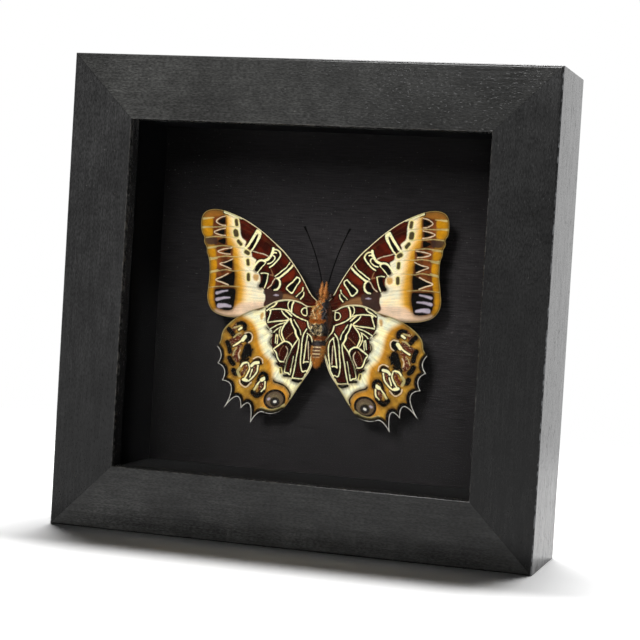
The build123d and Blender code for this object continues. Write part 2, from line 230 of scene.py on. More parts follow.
# --- node graphs -----------------------------------------------------------------------
class Value:
    """A socket of a node graph, on which Python's arithmetic adds Math nodes."""

    def __init__(self, graph, socket):
        self.graph = graph
        self.socket = socket

    def maths(self, operation, *values):
        return self.graph.add("ShaderNodeMath", {"operation": operation}, dict(enumerate(values)))

    def __add__(self, other):
        return self.maths("ADD", self, other)

    def __sub__(self, other):
        return self.maths("SUBTRACT", self, other)

    def __rsub__(self, other):
        return self.maths("SUBTRACT", other, self)

    def __mul__(self, other):
        return self.maths("MULTIPLY", self, other)

    def __abs__(self):
        return self.maths("ABSOLUTE", self)

    __radd__ = __add__
    __rmul__ = __mul__

    def most(self, other):
        return self.maths("MAXIMUM", self, other)

    def ramp(self, low, high, at_low=0.0, at_high=1.0):
        """Smooth step from at_low to at_high as this value goes from low to high."""
        return self.graph.add(
            "ShaderNodeMapRange",
            {"interpolation_type": "SMOOTHSTEP"},
            {"Value": self, "From Min": low, "From Max": high, "To Min": at_low, "To Max": at_high},
        )

    def vary(self, share):
        """Factor that this noise takes from 1 - share to 1 + share."""
        return self.ramp(*NOISE_SPAN, 1 - share, 1 + share)


class Graph:
    """Adds nodes to one material's, world's or modifier's tree."""

    def __init__(self, tree):
        self.tree = tree

    def add(self, kind, settings=None, inputs=None, output=0):
        """One new node: its settings, then its sockets. Returns the named or numbered output."""
        node = self.tree.nodes.new(kind)
        for name, value in (settings or {}).items():
            setattr(node, name, value)
        for name, value in (inputs or {}).items():
            self.feed(node.inputs[name], value)
        return Value(self, node.outputs[output]) if node.outputs else node

    def feed(self, socket, value):
        """Link a value to a socket, or set the socket to a plain number, colour or vector."""
        if isinstance(value, Value):
            self.tree.links.new(value.socket, socket)
        elif isinstance(value, tuple) and socket.type == "RGBA":
            socket.default_value = (*value, 1.0)
        else:
            socket.default_value = value

    def mix(self, share, first, second):
        """Colour that goes from first to second as share goes from 0 to 1."""
        node = self.tree.nodes.new("ShaderNodeMix")
        node.data_type = "RGBA"
        self.feed(node.inputs["Factor"], share)
        self.feed(next(s for s in node.inputs if s.identifier == "A_Color"), first)
        self.feed(next(s for s in node.inputs if s.identifier == "B_Color"), second)
        return Value(self, next(s for s in node.outputs if s.identifier == "Result_Color"))

    def shade(self, colour, amount):
        """The colour made lighter or darker by a factor that varies."""
        return self.add(
            "ShaderNodeVectorMath", {"operation": "SCALE"}, {0: colour, "Scale": amount}
        )

    def place(self, scale=(1.0, 1.0, 1.0)):
        """Object coordinates, in mm along each axis divided by the scale given."""
        metres = self.add("ShaderNodeTexCoord", output="Object")
        return self.add(
            "ShaderNodeMapping", {}, {"Vector": metres, "Scale": tuple(1000 / s for s in scale)}
        )

    def axes(self, vector):
        """The three numbers of a vector."""
        node = self.tree.nodes.new("ShaderNodeSeparateXYZ")
        self.feed(node.inputs[0], vector)
        return [Value(self, socket) for socket in node.outputs]

    def noise(self, vector, scale=1.0, detail=3.0, roughness=0.5):
        return self.add(
            "ShaderNodeTexNoise",
            {},
            {"Vector": vector, "Scale": scale, "Detail": detail, "Roughness": roughness},
            "Fac",
        )

    def mottle(self, spots, detail=3.0, roughness=0.5):
        """Noise in spots this many mm across, as one number or one for each axis."""
        across = spots if isinstance(spots, tuple) else (spots,) * 3
        return self.noise(self.place(across), detail=detail, roughness=roughness)

    def drift(self, noise, first, second):
        """Colour that goes from first to second with a noise."""
        return self.mix(noise.ramp(*NOISE_SPAN), first, second)

    def attribute(self, name):
        return self.add("ShaderNodeAttribute", {"attribute_name": name}, {}, "Fac")

    def bump(self, height, distance, strength=1.0):
        return self.add(
            "ShaderNodeBump", {}, {"Height": height, "Distance": distance, "Strength": strength}
        )


def bare_graph(tree):
    """Graph on an emptied tree, to be built up to its own output."""
    tree.nodes.clear()
    return Graph(tree)


def bare_material(name):
    """A material without nodes, and the graph that will hold them."""
    material = bpy.data.materials.new(name)
    material.use_nodes = True
    return material, bare_graph(material.node_tree)


def new_material(name, **surface):
    """A material with one Principled shader. Returns it, its graph and a function that feeds it."""
    material = bpy.data.materials.new(name)
    material.use_nodes = True
    tree = material.node_tree
    shader = tree.nodes["Principled BSDF"]
    graph = Graph(tree)
    for socket, value in surface.items():
        graph.feed(shader.inputs[socket.replace("_", " ").title().replace("Ior", "IOR")], value)

    def feed(socket, value):
        graph.feed(shader.inputs[socket], value)

    return material, graph, feed


def dress(material, *nodes):
    """Give CAD nodes a material."""
    for name in nodes:
        mesh = frame["nodes"][name].data
        for slot in range(len(mesh.materials)):
            mesh.materials[slot] = material
        if not mesh.materials:
            mesh.materials.append(material)


def add_piece(name, mesh, body, replaces=(), material=None, smooth=True):
    """Put a finished mesh in the scene as a piece that rides on a body."""
    piece = bpy.data.objects.new(name, mesh)
    bpy.context.scene.collection.objects.link(piece)
    if material:
        mesh.materials.clear()
        mesh.materials.append(material)
    if smooth:
        mesh.shade_smooth()
    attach(piece, body)
    if replaces:
        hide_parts(*replaces)
    return piece


def evaluated_mesh(made, name):
    """Plain mesh of an object with its modifiers applied. The object itself is removed."""
    graph = bpy.context.evaluated_depsgraph_get()
    mesh = bpy.data.meshes.new_from_object(made.evaluated_get(graph))
    mesh.name = name
    bpy.data.objects.remove(made)
    return mesh


def scratch_object(mesh):
    """Object that holds a mesh while its modifiers are worked out."""
    made = bpy.data.objects.new("scratch", mesh)
    bpy.context.scene.collection.objects.link(made)
    return made


def mesh_of(shape, name):
    """Plain mesh of a bmesh, which is freed."""
    mesh = bpy.data.meshes.new(name)
    shape.to_mesh(mesh)
    shape.free()
    return mesh


def merged_copy(node):
    """Copy of a CAD node's mesh with its loose triangles joined."""
    mesh = frame["nodes"][node].data.copy()
    shape = bmesh.new()
    shape.from_mesh(mesh)
    bmesh.ops.remove_doubles(shape, verts=shape.verts, dist=1e-6)
    shape.to_mesh(mesh)
    shape.free()
    return mesh


def corners_of(node):
    """Lowest and highest corner of a CAD node, and its middle."""
    low, high = (Vector(corner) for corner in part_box(node))
    return low, high, (low + high) / 2


# --- wood ------------------------------------------------------------------------------
STAIN_IN_PORES = srgb(17, 17, 17)
DUST_ON_STAIN = srgb(120, 118, 114)
RUBBED_LIP = srgb(100, 98, 94)
PAINTED_SHEEN_AND_RUB = srgb(142, 144, 146)
WOOD_RELIEF = 0.00009


def wood_grain(graph, along):
    """Noises of the open grain that runs along X or Z: its streaks, pores and fibres."""
    settings = case_settings()
    length, width = settings.grain_length / MM, settings.grain_width / MM

    def stretched(lengthways, sideways):
        return tuple(lengthways if axis == along else sideways for axis in "XYZ")

    streaks = graph.mottle(stretched(length, width), detail=5.0, roughness=0.62)
    pores = graph.mottle(stretched(length * 0.09, width * 0.45), detail=2.0)
    return streaks, pores.ramp(0.60, 0.72), graph.mottle(stretched(1.1, 0.36))


def stain_mottle_and_painted_light(graph, along):
    """How much lighter or darker the stain is from place to place: a random mottle, times painted light
    that is lighter towards the top and the left.
    """
    low, high, _ = (corner / MM for corner in corners_of("stile_right"))
    x, _, z = graph.axes(graph.place())
    foot = 0.4 if along == "Z" else 0.8
    # Painted light: the stain is lighter towards the top and the left and darker towards the bottom and the
    # right, the stiles more than the rails.
    painted_light_fall = z.ramp(low.z, high.z, foot, 2 - foot) * x.ramp(-high.x, high.x, 1.3, 0.7)
    return graph.mottle(26.0, detail=2.0).vary(0.18) * graph.mottle(5.0).vary(0.14) * painted_light_fall


def moulding_edges(graph):
    """Masks of the lip round the opening, the outer flanks, their front arris and the mitres."""
    low, high, middle = (corner / MM for corner in corners_of("stile_right"))
    x, y, z = graph.axes(graph.place())
    beside = abs(x) - low.x
    above = abs(z - middle.z) - corners_of("rail_top")[0].z / MM + middle.z
    lip = abs(beside.most(above)).ramp(0.42, 0.1) * y.ramp(low.y + 2.6, low.y + 2.0)
    flank = abs(x).ramp(high.x - 0.45, high.x - 0.2)
    arris = flank * y.ramp(low.y + 0.9, low.y + 0.3)
    mitre = abs(beside - above).ramp(0.16, 0.05) * beside.ramp(-0.4, 0.2)
    return lip, flank, arris, mitre


def wood_material(name, along, base):
    """Black stain over open grain that runs along X or along Z, rubbed at its edges. Its pale streaks on
    the outer sides are scuffs and painted sheen, its paler front arris is rubbed and a painted highlight,
    and the stain is painted lighter towards the top and the left.
    """
    material, graph, feed = new_material(name, specular_ior_level=0.26)
    grain, pore, fibres = wood_grain(graph, along)
    lip, flank, arris, mitre = moulding_edges(graph)
    streak = grain.ramp(0.36, 0.66)
    dust = graph.mottle(0.7, detail=1.0).ramp(0.755, 0.80)
    colour = graph.mix(streak, tint(base, 0.8), tint(base, 1.24))
    colour = graph.mix(pore * 0.65, colour, STAIN_IN_PORES)
    colour = graph.mix(dust * 0.18, colour, DUST_ON_STAIN)
    colour = graph.shade(colour, stain_mottle_and_painted_light(graph, along) * fibres.vary(0.42))
    wear_and_highlight = graph.mottle(1.6).ramp(0.42, 0.66)
    sheen_streaks_and_scuffs = graph.mottle((0.45, 0.45, 7.0)).ramp(0.5, 0.72)
    dents = graph.mottle((1.3, 1.3, 3.4), detail=2.0).ramp(0.66, 0.74)
    colour = graph.mix(lip * wear_and_highlight * 0.45, colour, RUBBED_LIP)
    # Pale vertical streaks on the outer sides: scuffs and painted sheen along the grain. Paler front arris:
    # rubbed, and a painted highlight.
    colour = graph.mix(flank * sheen_streaks_and_scuffs * 0.24 + arris * wear_and_highlight * 0.6, colour, PAINTED_SHEEN_AND_RUB)
    feed("Base Color", graph.shade(colour, 1 - mitre * 0.5))
    rough = streak.ramp(0.0, 1.0, 0.21, 0.14) + pore * 0.15
    feed("Roughness", rough + flank * (dents * 0.3 + sheen_streaks_and_scuffs * 0.14))
    feed("Normal", graph.bump(grain * 0.16 + fibres * 0.28 - pore * 0.15, WOOD_RELIEF, 0.5))
    return material


class CASE_OT_mouldings(bpy.types.Operator):
    """Stain the four mouldings, each with its grain along its length"""

    bl_idname = "display_case.mouldings"
    bl_label = "Mouldings"

    def execute(self, context):
        settings = case_settings()
        # Rails and stiles are lit and shaded copies of one stain: the rails are painted lighter.
        dress(wood_material("wood_rails", "X", tuple(settings.rail_colour)), *RAILS)
        dress(wood_material("wood_stiles", "Z", tuple(settings.wood_colour)), *STILES)
        return {"FINISHED"}


# --- glass, lining and boards ----------------------------------------------------------
CARD_DUST = srgb(150, 148, 145)
# Lining of the bottom strip, painted lighter for the light that falls on it.
LINING_SILL_PAINTED_LIGHT = srgb(15, 14, 15)
FOAM_WHITE = srgb(222, 221, 216)
CARD_RELIEF = 0.00006
BOARD_RELIEF = 0.00008
PLAIN_RELIEF = 0.00004


def glass_material():
    """Thin clear glass: a faint mirror over what is behind it."""
    material, graph = bare_material("glass_clear")
    clear = graph.add("ShaderNodeBsdfTransparent", {}, {"Color": (0.985, 0.99, 0.985)})
    mirror = graph.add("ShaderNodeBsdfGlossy", {}, {"Color": (1.0, 1.0, 1.0), "Roughness": 0.08})
    smears = graph.mottle((30.0, 30.0, 60.0), detail=2.0)
    glance = graph.add("ShaderNodeFresnel", {}, {"IOR": 1.2})
    share = glance * smears.ramp(0.2, 0.8, 0.16, 0.24)
    both = graph.add("ShaderNodeMixShader", {}, {"Fac": share, 1: clear, 2: mirror})
    graph.add("ShaderNodeOutputMaterial", {}, {"Surface": both})
    return material


def card_material():
    """Black card with a faint laid weave and a few specks of dust, shaded towards its sides. Light and
    shade are painted on it: darker under the top rail, lightest just above the middle, darker towards the
    sides.
    """
    material, graph, feed = new_material("card_black", roughness=0.9, specular_ior_level=0.08)
    base = case_settings().card_colour
    weave = graph.mottle((7.0, 1.0, 0.35), roughness=0.6)
    threads = graph.mottle((0.3, 1.0, 3.5), detail=2.0)
    dust = graph.mottle(0.55, detail=0.0).ramp(0.80, 0.84)
    across, _, high = graph.axes(graph.place())
    # Painted light and shade: darker under the top rail, lightest just above the middle and a little darker
    # towards the bottom; darker towards the left side and, less, towards the right.
    painted_light_by_height = high.ramp(112.0, 88.0, 0.8, 2.0) * high.ramp(80.0, 24.0, 1.0, 0.72)
    shaded = across.ramp(-52.0, -18.0, 0.34, 1.0) * across.ramp(40.0, 53.0, 1.0, 0.62)
    colour = graph.mix(weave.ramp(0.35, 0.65), tint(base, 0.72), tint(base, 1.3))
    colour = graph.shade(colour, threads.vary(0.1) * painted_light_by_height * shaded)
    feed("Base Color", graph.mix(dust * 0.15, colour, CARD_DUST))
    feed("Normal", graph.bump(weave + threads * 0.6, CARD_RELIEF, 0.5))
    return material


def plain_material(name, base, rough, grain=1.0, spread=0.16, metallic=0.0, **surface):
    """A finish whose colour and roughness vary a little, at a grain size in mm."""
    material, graph, feed = new_material(name, metallic=metallic, **surface)
    fine = graph.mottle(grain, detail=4.0, roughness=0.6)
    broad = graph.mottle(grain * 14, detail=2.0)
    feed("Base Color", graph.shade(tuple(base), fine.vary(spread) * broad.vary(spread / 2)))
    feed("Roughness", fine.ramp(0.25, 0.75, rough - 0.07, rough + 0.07))
    feed("Normal", graph.bump(fine, PLAIN_RELIEF, 0.5))
    return material


class CASE_OT_glass(bpy.types.Operator):
    """Finish the pane of glass"""

    bl_idname = "display_case.glass"
    bl_label = "Glass"

    def execute(self, context):
        dress(glass_material(), "glass_pane")
        return {"FINISHED"}


class CASE_OT_chamber(bpy.types.Operator):
    """Finish the lining strips and the card behind the butterfly"""

    bl_idname = "display_case.chamber"
    bl_label = "Lining and card"

    def execute(self, context):
        settings = case_settings()
        matt = {"specular_ior_level": 0.1}
        dress(plain_material("lining_black", settings.lining_colour, 0.7, 0.5, **matt), *SPACERS)
        # The bottom strip faces up to the lamps and is painted lighter than the other strips: painted
        # light.
        dress(plain_material("lining_dusty", LINING_SILL_PAINTED_LIGHT, 0.7, 0.5, 0.3), "spacer_bottom")
        dress(card_material(), "backing_card")
        return {"FINISHED"}


def hardboard_material():
    """Pressed brown fibre: short pale and dark fibres over an even ground."""
    material, graph, feed = new_material("board_brown", specular_ior_level=0.3)
    base = case_settings().board_colour
    across = graph.mottle((2.4, 1.0, 0.28), detail=4.0, roughness=0.7)
    upright = graph.mottle((0.28, 1.0, 2.4), detail=4.0, roughness=0.7)
    fibres = across.most(upright).ramp(0.5, 0.72)
    colour = graph.mix(fibres, tint(base, 0.8), tint(base, 1.35))
    feed("Base Color", graph.shade(colour, graph.mottle(18.0).ramp(*NOISE_SPAN, 0.88, 1.1)))
    feed("Roughness", fibres.ramp(0.0, 1.0, 0.62, 0.78))
    feed("Normal", graph.bump(fibres, BOARD_RELIEF, 0.5))
    return material


class CASE_OT_boards(bpy.types.Operator):
    """Finish the board under the card and the board that closes the back"""

    bl_idname = "display_case.boards"
    bl_label = "Boards"

    def execute(self, context):
        dress(plain_material("board_foam", FOAM_WHITE, 0.8, 0.6, 0.05), "mount_board")
        dress(hardboard_material(), "back_board")
        return {"FINISHED"}


# --- hardware on the back --------------------------------------------------------------
LACQUER = srgb(38, 38, 39)
ZINC = srgb(186, 180, 165)
BRASS = srgb(196, 166, 100)
BRIGHT_STEEL = srgb(160, 156, 148)
RUBBER = srgb(30, 30, 31)
# A turn button's screw. Head and shaft are radii.
SCREW_HEAD = 2.9 * MM
SCREW_HEIGHT = 1.6 * MM
SCREW_BRIM = 0.45 * MM
SCREW_CHAMFER = 0.1 * MM
SCREW_SHAFT = 1.5 * MM
SCREW_LENGTH = 10.0 * MM
SCREW_POINT = 2.0 * MM
SCREW_GAP = 0.1 * MM
SCREW_TURN = 1.4
RECESS_HALF_WIDTH = 0.36 * MM
RECESS_REACH = 1.6 * MM
HANGER_EDGE = 0.1 * MM
BUMPER_EDGE = 0.35 * MM


def bevelled_copy(node, width):
    """A CAD node's mesh with its sharp edges rounded."""
    made = scratch_object(merged_copy(node))
    planar = made.modifiers.new("flatten", "DECIMATE")
    planar.decimate_type = "DISSOLVE"
    planar.angle_limit = radians(1)
    rounding = made.modifiers.new("bevel", "BEVEL")
    rounding.width = width
    rounding.segments = 2
    rounding.limit_method = "ANGLE"
    rounding.angle_limit = radians(50)
    return evaluated_mesh(made, f"{node}_rounded")


def lathe(outline, steps=40):
    """Closed mesh turned from (radius, depth) points about the Y axis. Depth grows outwards."""
    shape = bmesh.new()
    rings = []
    for radius, depth in outline:
        if radius == 0:
            rings.append([shape.verts.new((0, depth, 0))])
            continue
        angles = [2 * pi * k / steps for k in range(steps)]
        rings.append([shape.verts.new((radius * cos(a), depth, radius * sin(a))) for a in angles])
    for inner, outer in zip(rings, rings[1:]):
        for k in range(steps):
            corners = [
                inner[k % len(inner)], inner[(k + 1) % len(inner)],
                outer[(k + 1) % len(outer)], outer[k % len(outer)],
            ]
            shape.faces.new(list(dict.fromkeys(corners)))
    bmesh.ops.recalc_face_normals(shape, faces=shape.faces)
    return mesh_of(shape, "turned")


def cut(made, tool):
    """Cut one object's mesh out of another's."""
    step = made.modifiers.new("cut", "BOOLEAN")
    step.operation = "DIFFERENCE"
    step.solver = "EXACT"
    step.object = tool


def driver_arm(half_width, reach, depth, at, turn):
    """Tapered blade that cuts one arm of a cross recess, from depth at along -Y."""
    spin = Matrix.Rotation(turn, 4, "Y")
    shape = bmesh.new()
    mouth, bottom = (at + depth, 1.1, 1.1), (at - depth, 0.35, 0.7)
    for y, grow, thick in (mouth, bottom):
        for x, z in ((-1, -1), (1, -1), (1, 1), (-1, 1)):
            shape.verts.new(spin @ Vector((x * reach * grow, y, z * half_width * thick)))
    shape.verts.ensure_lookup_table()
    for face in ((0, 1, 2, 3), (7, 6, 5, 4), (0, 4, 5, 1), (1, 5, 6, 2), (2, 6, 7, 3), (3, 7, 4, 0)):
        shape.faces.new([shape.verts[k] for k in face])
    bmesh.ops.recalc_face_normals(shape, faces=shape.faces)
    return scratch_object(mesh_of(shape, "driver"))


def open_tree(name, numbers, finishes):
    """New Geometry Nodes tree that takes a geometry, some numbers and some materials.

    Returns the tree, its graph, the identifier of each named input and the inputs' values.
    """
    tree = bpy.data.node_groups.new(name, "GeometryNodeTree")
    socket = tree.interface.new_socket
    socket("Geometry", in_out="INPUT", socket_type="NodeSocketGeometry")
    names = {}
    for kind, labels in (("NodeSocketFloat", numbers), ("NodeSocketMaterial", finishes)):
        for label in labels:
            names[label] = socket(label, in_out="INPUT", socket_type=kind).identifier
    socket("Geometry", in_out="OUTPUT", socket_type="NodeSocketGeometry")
    graph = Graph(tree)
    entry = tree.nodes.new("NodeGroupInput")
    return tree, graph, names, [Value(graph, output) for output in entry.outputs[:1 + len(names)]]


def geometry_of(graph, prototype):
    """The geometry of a prototype, inside a tree."""
    return graph.add(
        "GeometryNodeObjectInfo", {"transform_space": "ORIGINAL"}, {"Object": prototype}, "Geometry"
    )


def run_tree(made, tree, names, values):
    """Geometry Nodes modifier on an object, with its named inputs set by identifier."""
    step = made.modifiers.new("nodes", "NODES")
    step.node_group = tree
    for name, value in values.items():
        step[names[name]] = value


def scatter_tree(prototype):
    """Geometry Nodes tree that sets one copy of a part on each point, each turned at random."""
    tree, graph, names, inputs = open_tree("set_copies", ("Turn spread",), ("Finish",))
    points, turn, finish = inputs
    angle = graph.add(
        "FunctionNodeRandomValue", {"data_type": "FLOAT"}, {2: turn * -1, 3: turn, "Seed": 11}, 1
    )
    euler = graph.add("ShaderNodeCombineXYZ", {}, {"Y": angle})
    copies = graph.add(
        "GeometryNodeInstanceOnPoints", {},
        {"Points": points, "Instance": geometry_of(graph, prototype), "Rotation": euler},
    )
    solid = graph.add("GeometryNodeRealizeInstances", {}, {"Geometry": copies})
    dressed = graph.add("GeometryNodeSetMaterial", {}, {"Geometry": solid, "Material": finish})
    graph.feed(tree.nodes.new("NodeGroupOutput").inputs[0], dressed)
    return tree, names


def copies_at(places, prototype_mesh, material, turn_spread):
    """Mesh of one prototype set at each place, by Geometry Nodes."""
    prototype = scratch_object(prototype_mesh)
    points = bpy.data.meshes.new("places")
    points.from_pydata([tuple(place) for place in places], [], [])
    made = scratch_object(points)
    run_tree(made, *scatter_tree(prototype), {"Turn spread": turn_spread, "Finish": material})
    mesh = evaluated_mesh(made, "copies")
    bpy.data.objects.remove(prototype)
    return mesh


def screw_mesh():
    """Round-headed screw about the Y axis, its seat at depth 0, with a cross recess."""
    dome = [
        (SCREW_HEAD * cos(a), SCREW_BRIM + (SCREW_HEIGHT - SCREW_BRIM) * sin(a))
        for a in (radians(step) for step in range(0, 81, 10))
    ]
    shank = [(0, -SCREW_LENGTH), (SCREW_SHAFT, -SCREW_LENGTH + SCREW_POINT), (SCREW_SHAFT, 0)]
    outline = [*shank, (SCREW_HEAD - SCREW_CHAMFER, 0), *dome, (0, SCREW_HEIGHT)]
    made = scratch_object(lathe(outline))
    depth = case_settings().recess_depth
    arms = [
        driver_arm(RECESS_HALF_WIDTH, RECESS_REACH, depth, SCREW_HEIGHT, turn) for turn in (0, pi / 2)
    ]
    for arm in arms:
        cut(made, arm)
    mesh = evaluated_mesh(made, "screw")
    for arm in arms:
        bpy.data.objects.remove(arm)
    return mesh


class CASE_OT_turn_buttons(bpy.types.Operator):
    """Make the four turn buttons and the screws that they turn on"""

    bl_idname = "display_case.turn_buttons"
    bl_label = "Turn buttons"

    def execute(self, context):
        bevel = case_settings().bevel
        lacquer = plain_material("steel_black", LACQUER, 0.42, 0.6, 0.12)
        for node, body in BUTTONS.items():
            add_piece(f"{node}_plate", bevelled_copy(node, bevel), body, (node,), lacquer,
                      smooth=False)
        zinc = plain_material("steel_zinc", ZINC, 0.34, 0.4, 0.10, metallic=1.0)
        places = []
        for node in BUTTONS:
            joint = next(j for j in frame["joints"] if j["name"] == f"{node}_turn")
            seat = Vector(joint["pos_m"])
            seat.y = corners_of(node)[1].y + SCREW_GAP
            places.append(seat)
        screws = copies_at(places, screw_mesh(), zinc, SCREW_TURN)
        add_piece("turn_screws", screws, CASE, ("turn_button_screws",))
        return {"FINISHED"}


class CASE_OT_hanger(bpy.types.Operator):
    """Make the sawtooth hanger and finish its nails and those across the mitres"""

    bl_idname = "display_case.hanger"
    bl_label = "Hanger and nails"

    def execute(self, context):
        brass = plain_material("steel_brassed", BRASS, 0.36, 0.5, 0.12, metallic=1.0)
        add_piece("hanger_strip", bevelled_copy("hanger", HANGER_EDGE), CASE, ("hanger",),
                  brass, smooth=False)
        nails = plain_material("steel_bright", BRIGHT_STEEL, 0.4, 0.4, 0.16, metallic=1.0)
        dress(nails, "hanger_nails", "corner_nails")
        return {"FINISHED"}


class CASE_OT_bumpers(bpy.types.Operator):
    """Make the two rubber pads that rest on the wall"""

    bl_idname = "display_case.bumpers"
    bl_label = "Bumpers"

    def execute(self, context):
        rubber = plain_material("rubber_dark", RUBBER, 0.68, 0.5, 0.14)
        add_piece("bumper_pads", bevelled_copy("wall_bumpers", BUMPER_EDGE), CASE,
                  ("wall_bumpers",), rubber)
        return {"FINISHED"}


# --- wings: drawing --------------------------------------------------------------------
def rounded(points, closed=False, steps=5):
    """Curve through the points, as an array of finer points."""
    knots = np.array(points, dtype=float)
    if len(knots) < 3:
        return knots
    if closed:
        before, after, following = (np.roll(knots, shift, axis=0) for shift in (1, -1, -2))
        first = knots
    else:
        padded = np.vstack([2 * knots[0] - knots[1], knots, 2 * knots[-1] - knots[-2]])
        before, first, after, following = padded[:-3], padded[1:-2], padded[2:-1], padded[3:]
    curve = []
    for p0, p1, p2, p3 in zip(before, first, after, following):
        for t in np.arange(steps) / steps:
            curve.append(
                0.5 * (2 * p1 + (p2 - p0) * t + (2 * p0 - 5 * p1 + 4 * p2 - p3) * t ** 2
                       + (3 * p1 - p0 - 3 * p2 + p3) * t ** 3)
            )
    if not closed:
        curve.append(knots[-1])
    return np.array(curve)


def path_distance(where, path, widths):
    """Distance from each place to a path, less half the path's width there."""
    gaps = np.full(len(where), np.inf)
    along = np.linspace(0, 1, len(path))
    halves = np.interp(along, np.linspace(0, 1, len(widths)), widths) / 2
    for (a, b), (wide_a, wide_b) in zip(zip(path, path[1:]), zip(halves, halves[1:])):
        run = b - a
        share = np.clip(((where - a) @ run) / max(run @ run, 1e-12), 0, 1)
        gap = np.linalg.norm(where - a - share[:, None] * run, axis=1)
        gaps = np.minimum(gaps, gap - (wide_a + (wide_b - wide_a) * share))
    return gaps


def inside(where, loop):
    """True for each place inside a closed loop."""
    x, y = where[:, 0], where[:, 1]
    within = np.zeros(len(where), dtype=bool)
    for (x0, y0), (x1, y1) in zip(loop, np.roll(loop, -1, axis=0)):
        crosses = (y0 > y) != (y1 > y)
        if y0 != y1:
            within ^= crosses & (x < x0 + (y - y0) * (x1 - x0) / (y1 - y0))
    return within


LAYERS = (
    "basal", "band", "rust", "gold", "tanned", "cloud", "apex", "blush", "tan", "cream", "dusk",
    "ink", "olive", "pale", "lilac", "fringe", "eye", "vein", "edge",
)


class Paint:
    """Signed distances, in mm, from every point of a wing to what is drawn in each colour."""

    FAR = 6.0

    def __init__(self, where):
        self.where = where
        self.layers = {name: np.full(len(where), self.FAR) for name in LAYERS}

    def layer(self, name):
        return self.layers[name]

    def near(self, curve, margin):
        """Numbers of the points in the box round a curve, widened by a margin."""
        low, high = curve.min(axis=0) - margin, curve.max(axis=0) + margin
        return np.flatnonzero(np.all((self.where > low) & (self.where < high), axis=1))

    def stroke(self, name, width, points):
        """A line. Its width is one number, or several that it passes through."""
        widths = width if isinstance(width, tuple) else (width, width)
        curve = rounded(points)
        chosen = self.near(curve, 1.5 + max(widths))
        layer = self.layer(name)
        layer[chosen] = np.minimum(layer[chosen], path_distance(self.where[chosen], curve, widths))

    def patch(self, name, points):
        """A filled shape."""
        curve = rounded(points, closed=True)
        chosen = self.near(curve, self.FAR)
        gap = path_distance(self.where[chosen], np.vstack([curve, curve[:1]]), (0, 0))
        signed = np.where(inside(self.where[chosen], curve), -gap, gap)
        layer = self.layer(name)
        layer[chosen] = np.minimum(layer[chosen], signed)


# Forewing outline, from the shoulder along the front edge, down the margin and back.
FOREWING = (
    (1.5, -2.0), (3.4, 0.2), (6.3, 5.4), (9.3, 9.9), (12.2, 13.5), (15.0, 16.1), (19.7, 20.1),
    (25.1, 23.7), (31.0, 26.3), (35.0, 27.2), (38.0, 26.7), (39.5, 25.3), (40.0, 22.9), (39.8, 20.0),
    (38.9, 18.3), (39.0, 16.8), (38.2, 15.1), (38.1, 13.6), (37.4, 11.4), (37.2, 7.2), (37.7, 2.6),
    (38.0, -0.6), (37.4, -3.2), (35.7, -5.4), (32.3, -6.7), (27.5, -7.1), (18.0, -7.0), (1.5, -5.0),
)
# Hindwing outline in four runs. The margin goes from tip to tip round the notch after each.
HINDWING_FRONT = (
    (1.5, -3.8), (4.4, -4.0), (7.2, -2.6), (10.8, -2.0), (14.5, -2.5), (18.7, -4.4), (22.6, -5.5),
    (26.0, -7.0), (29.1, -8.8), (31.5, -11.0), (32.7, -13.1), (33.0, -15.2), (34.2, -17.2),
)
HINDWING_TIPS = (
    (34.2, -17.2), (34.0, -22.5), (32.4, -27.9), (31.7, -36.5), (26.1, -36.6), (22.9, -41.0),
    (18.4, -37.7),
)
HINDWING_NOTCHES = (
    (32.9, -19.8), (31.7, -24.6), (29.3, -30.2), (27.4, -32.9), (23.2, -35.2), (20.5, -38.0),
)
HINDWING_INNER = (
    (18.4, -37.7), (16.0, -38.0), (12.6, -36.8), (9.8, -33.4), (7.6, -30.1), (5.4, -26.9),
    (3.6, -24.3), (2.3, -21.4), (1.5, -18.8), (0.5, -16.4), (0.6, -14.2), (2.2, -12.2), (3.0, -8.0),
)


def notch_curve(tip, notch, following, steps=9):
    """Hollow of the margin between two tips."""
    tip, notch, following = (np.array(p, dtype=float) for p in (tip, notch, following))
    pull = 2 * notch - (tip + following) / 2
    t = (np.arange(steps + 1) / steps)[:, None]
    return (1 - t) ** 2 * tip + 2 * t * (1 - t) * pull + t ** 2 * following


def hindwing_notches():
    """Hollows of the hindwing's margin, from the front one to the inner one."""
    return [
        notch_curve(tip, notch, following)
        for tip, notch, following in zip(HINDWING_TIPS, HINDWING_NOTCHES, HINDWING_TIPS[1:])
    ]


def hindwing_outline():
    runs = [rounded(HINDWING_FRONT)[:-1]]
    runs += [curve[:-1] for curve in hindwing_notches()]
    runs += [rounded(HINDWING_INNER)]
    return np.vstack(runs)


def forewing_outline():
    return rounded(FOREWING, closed=True)


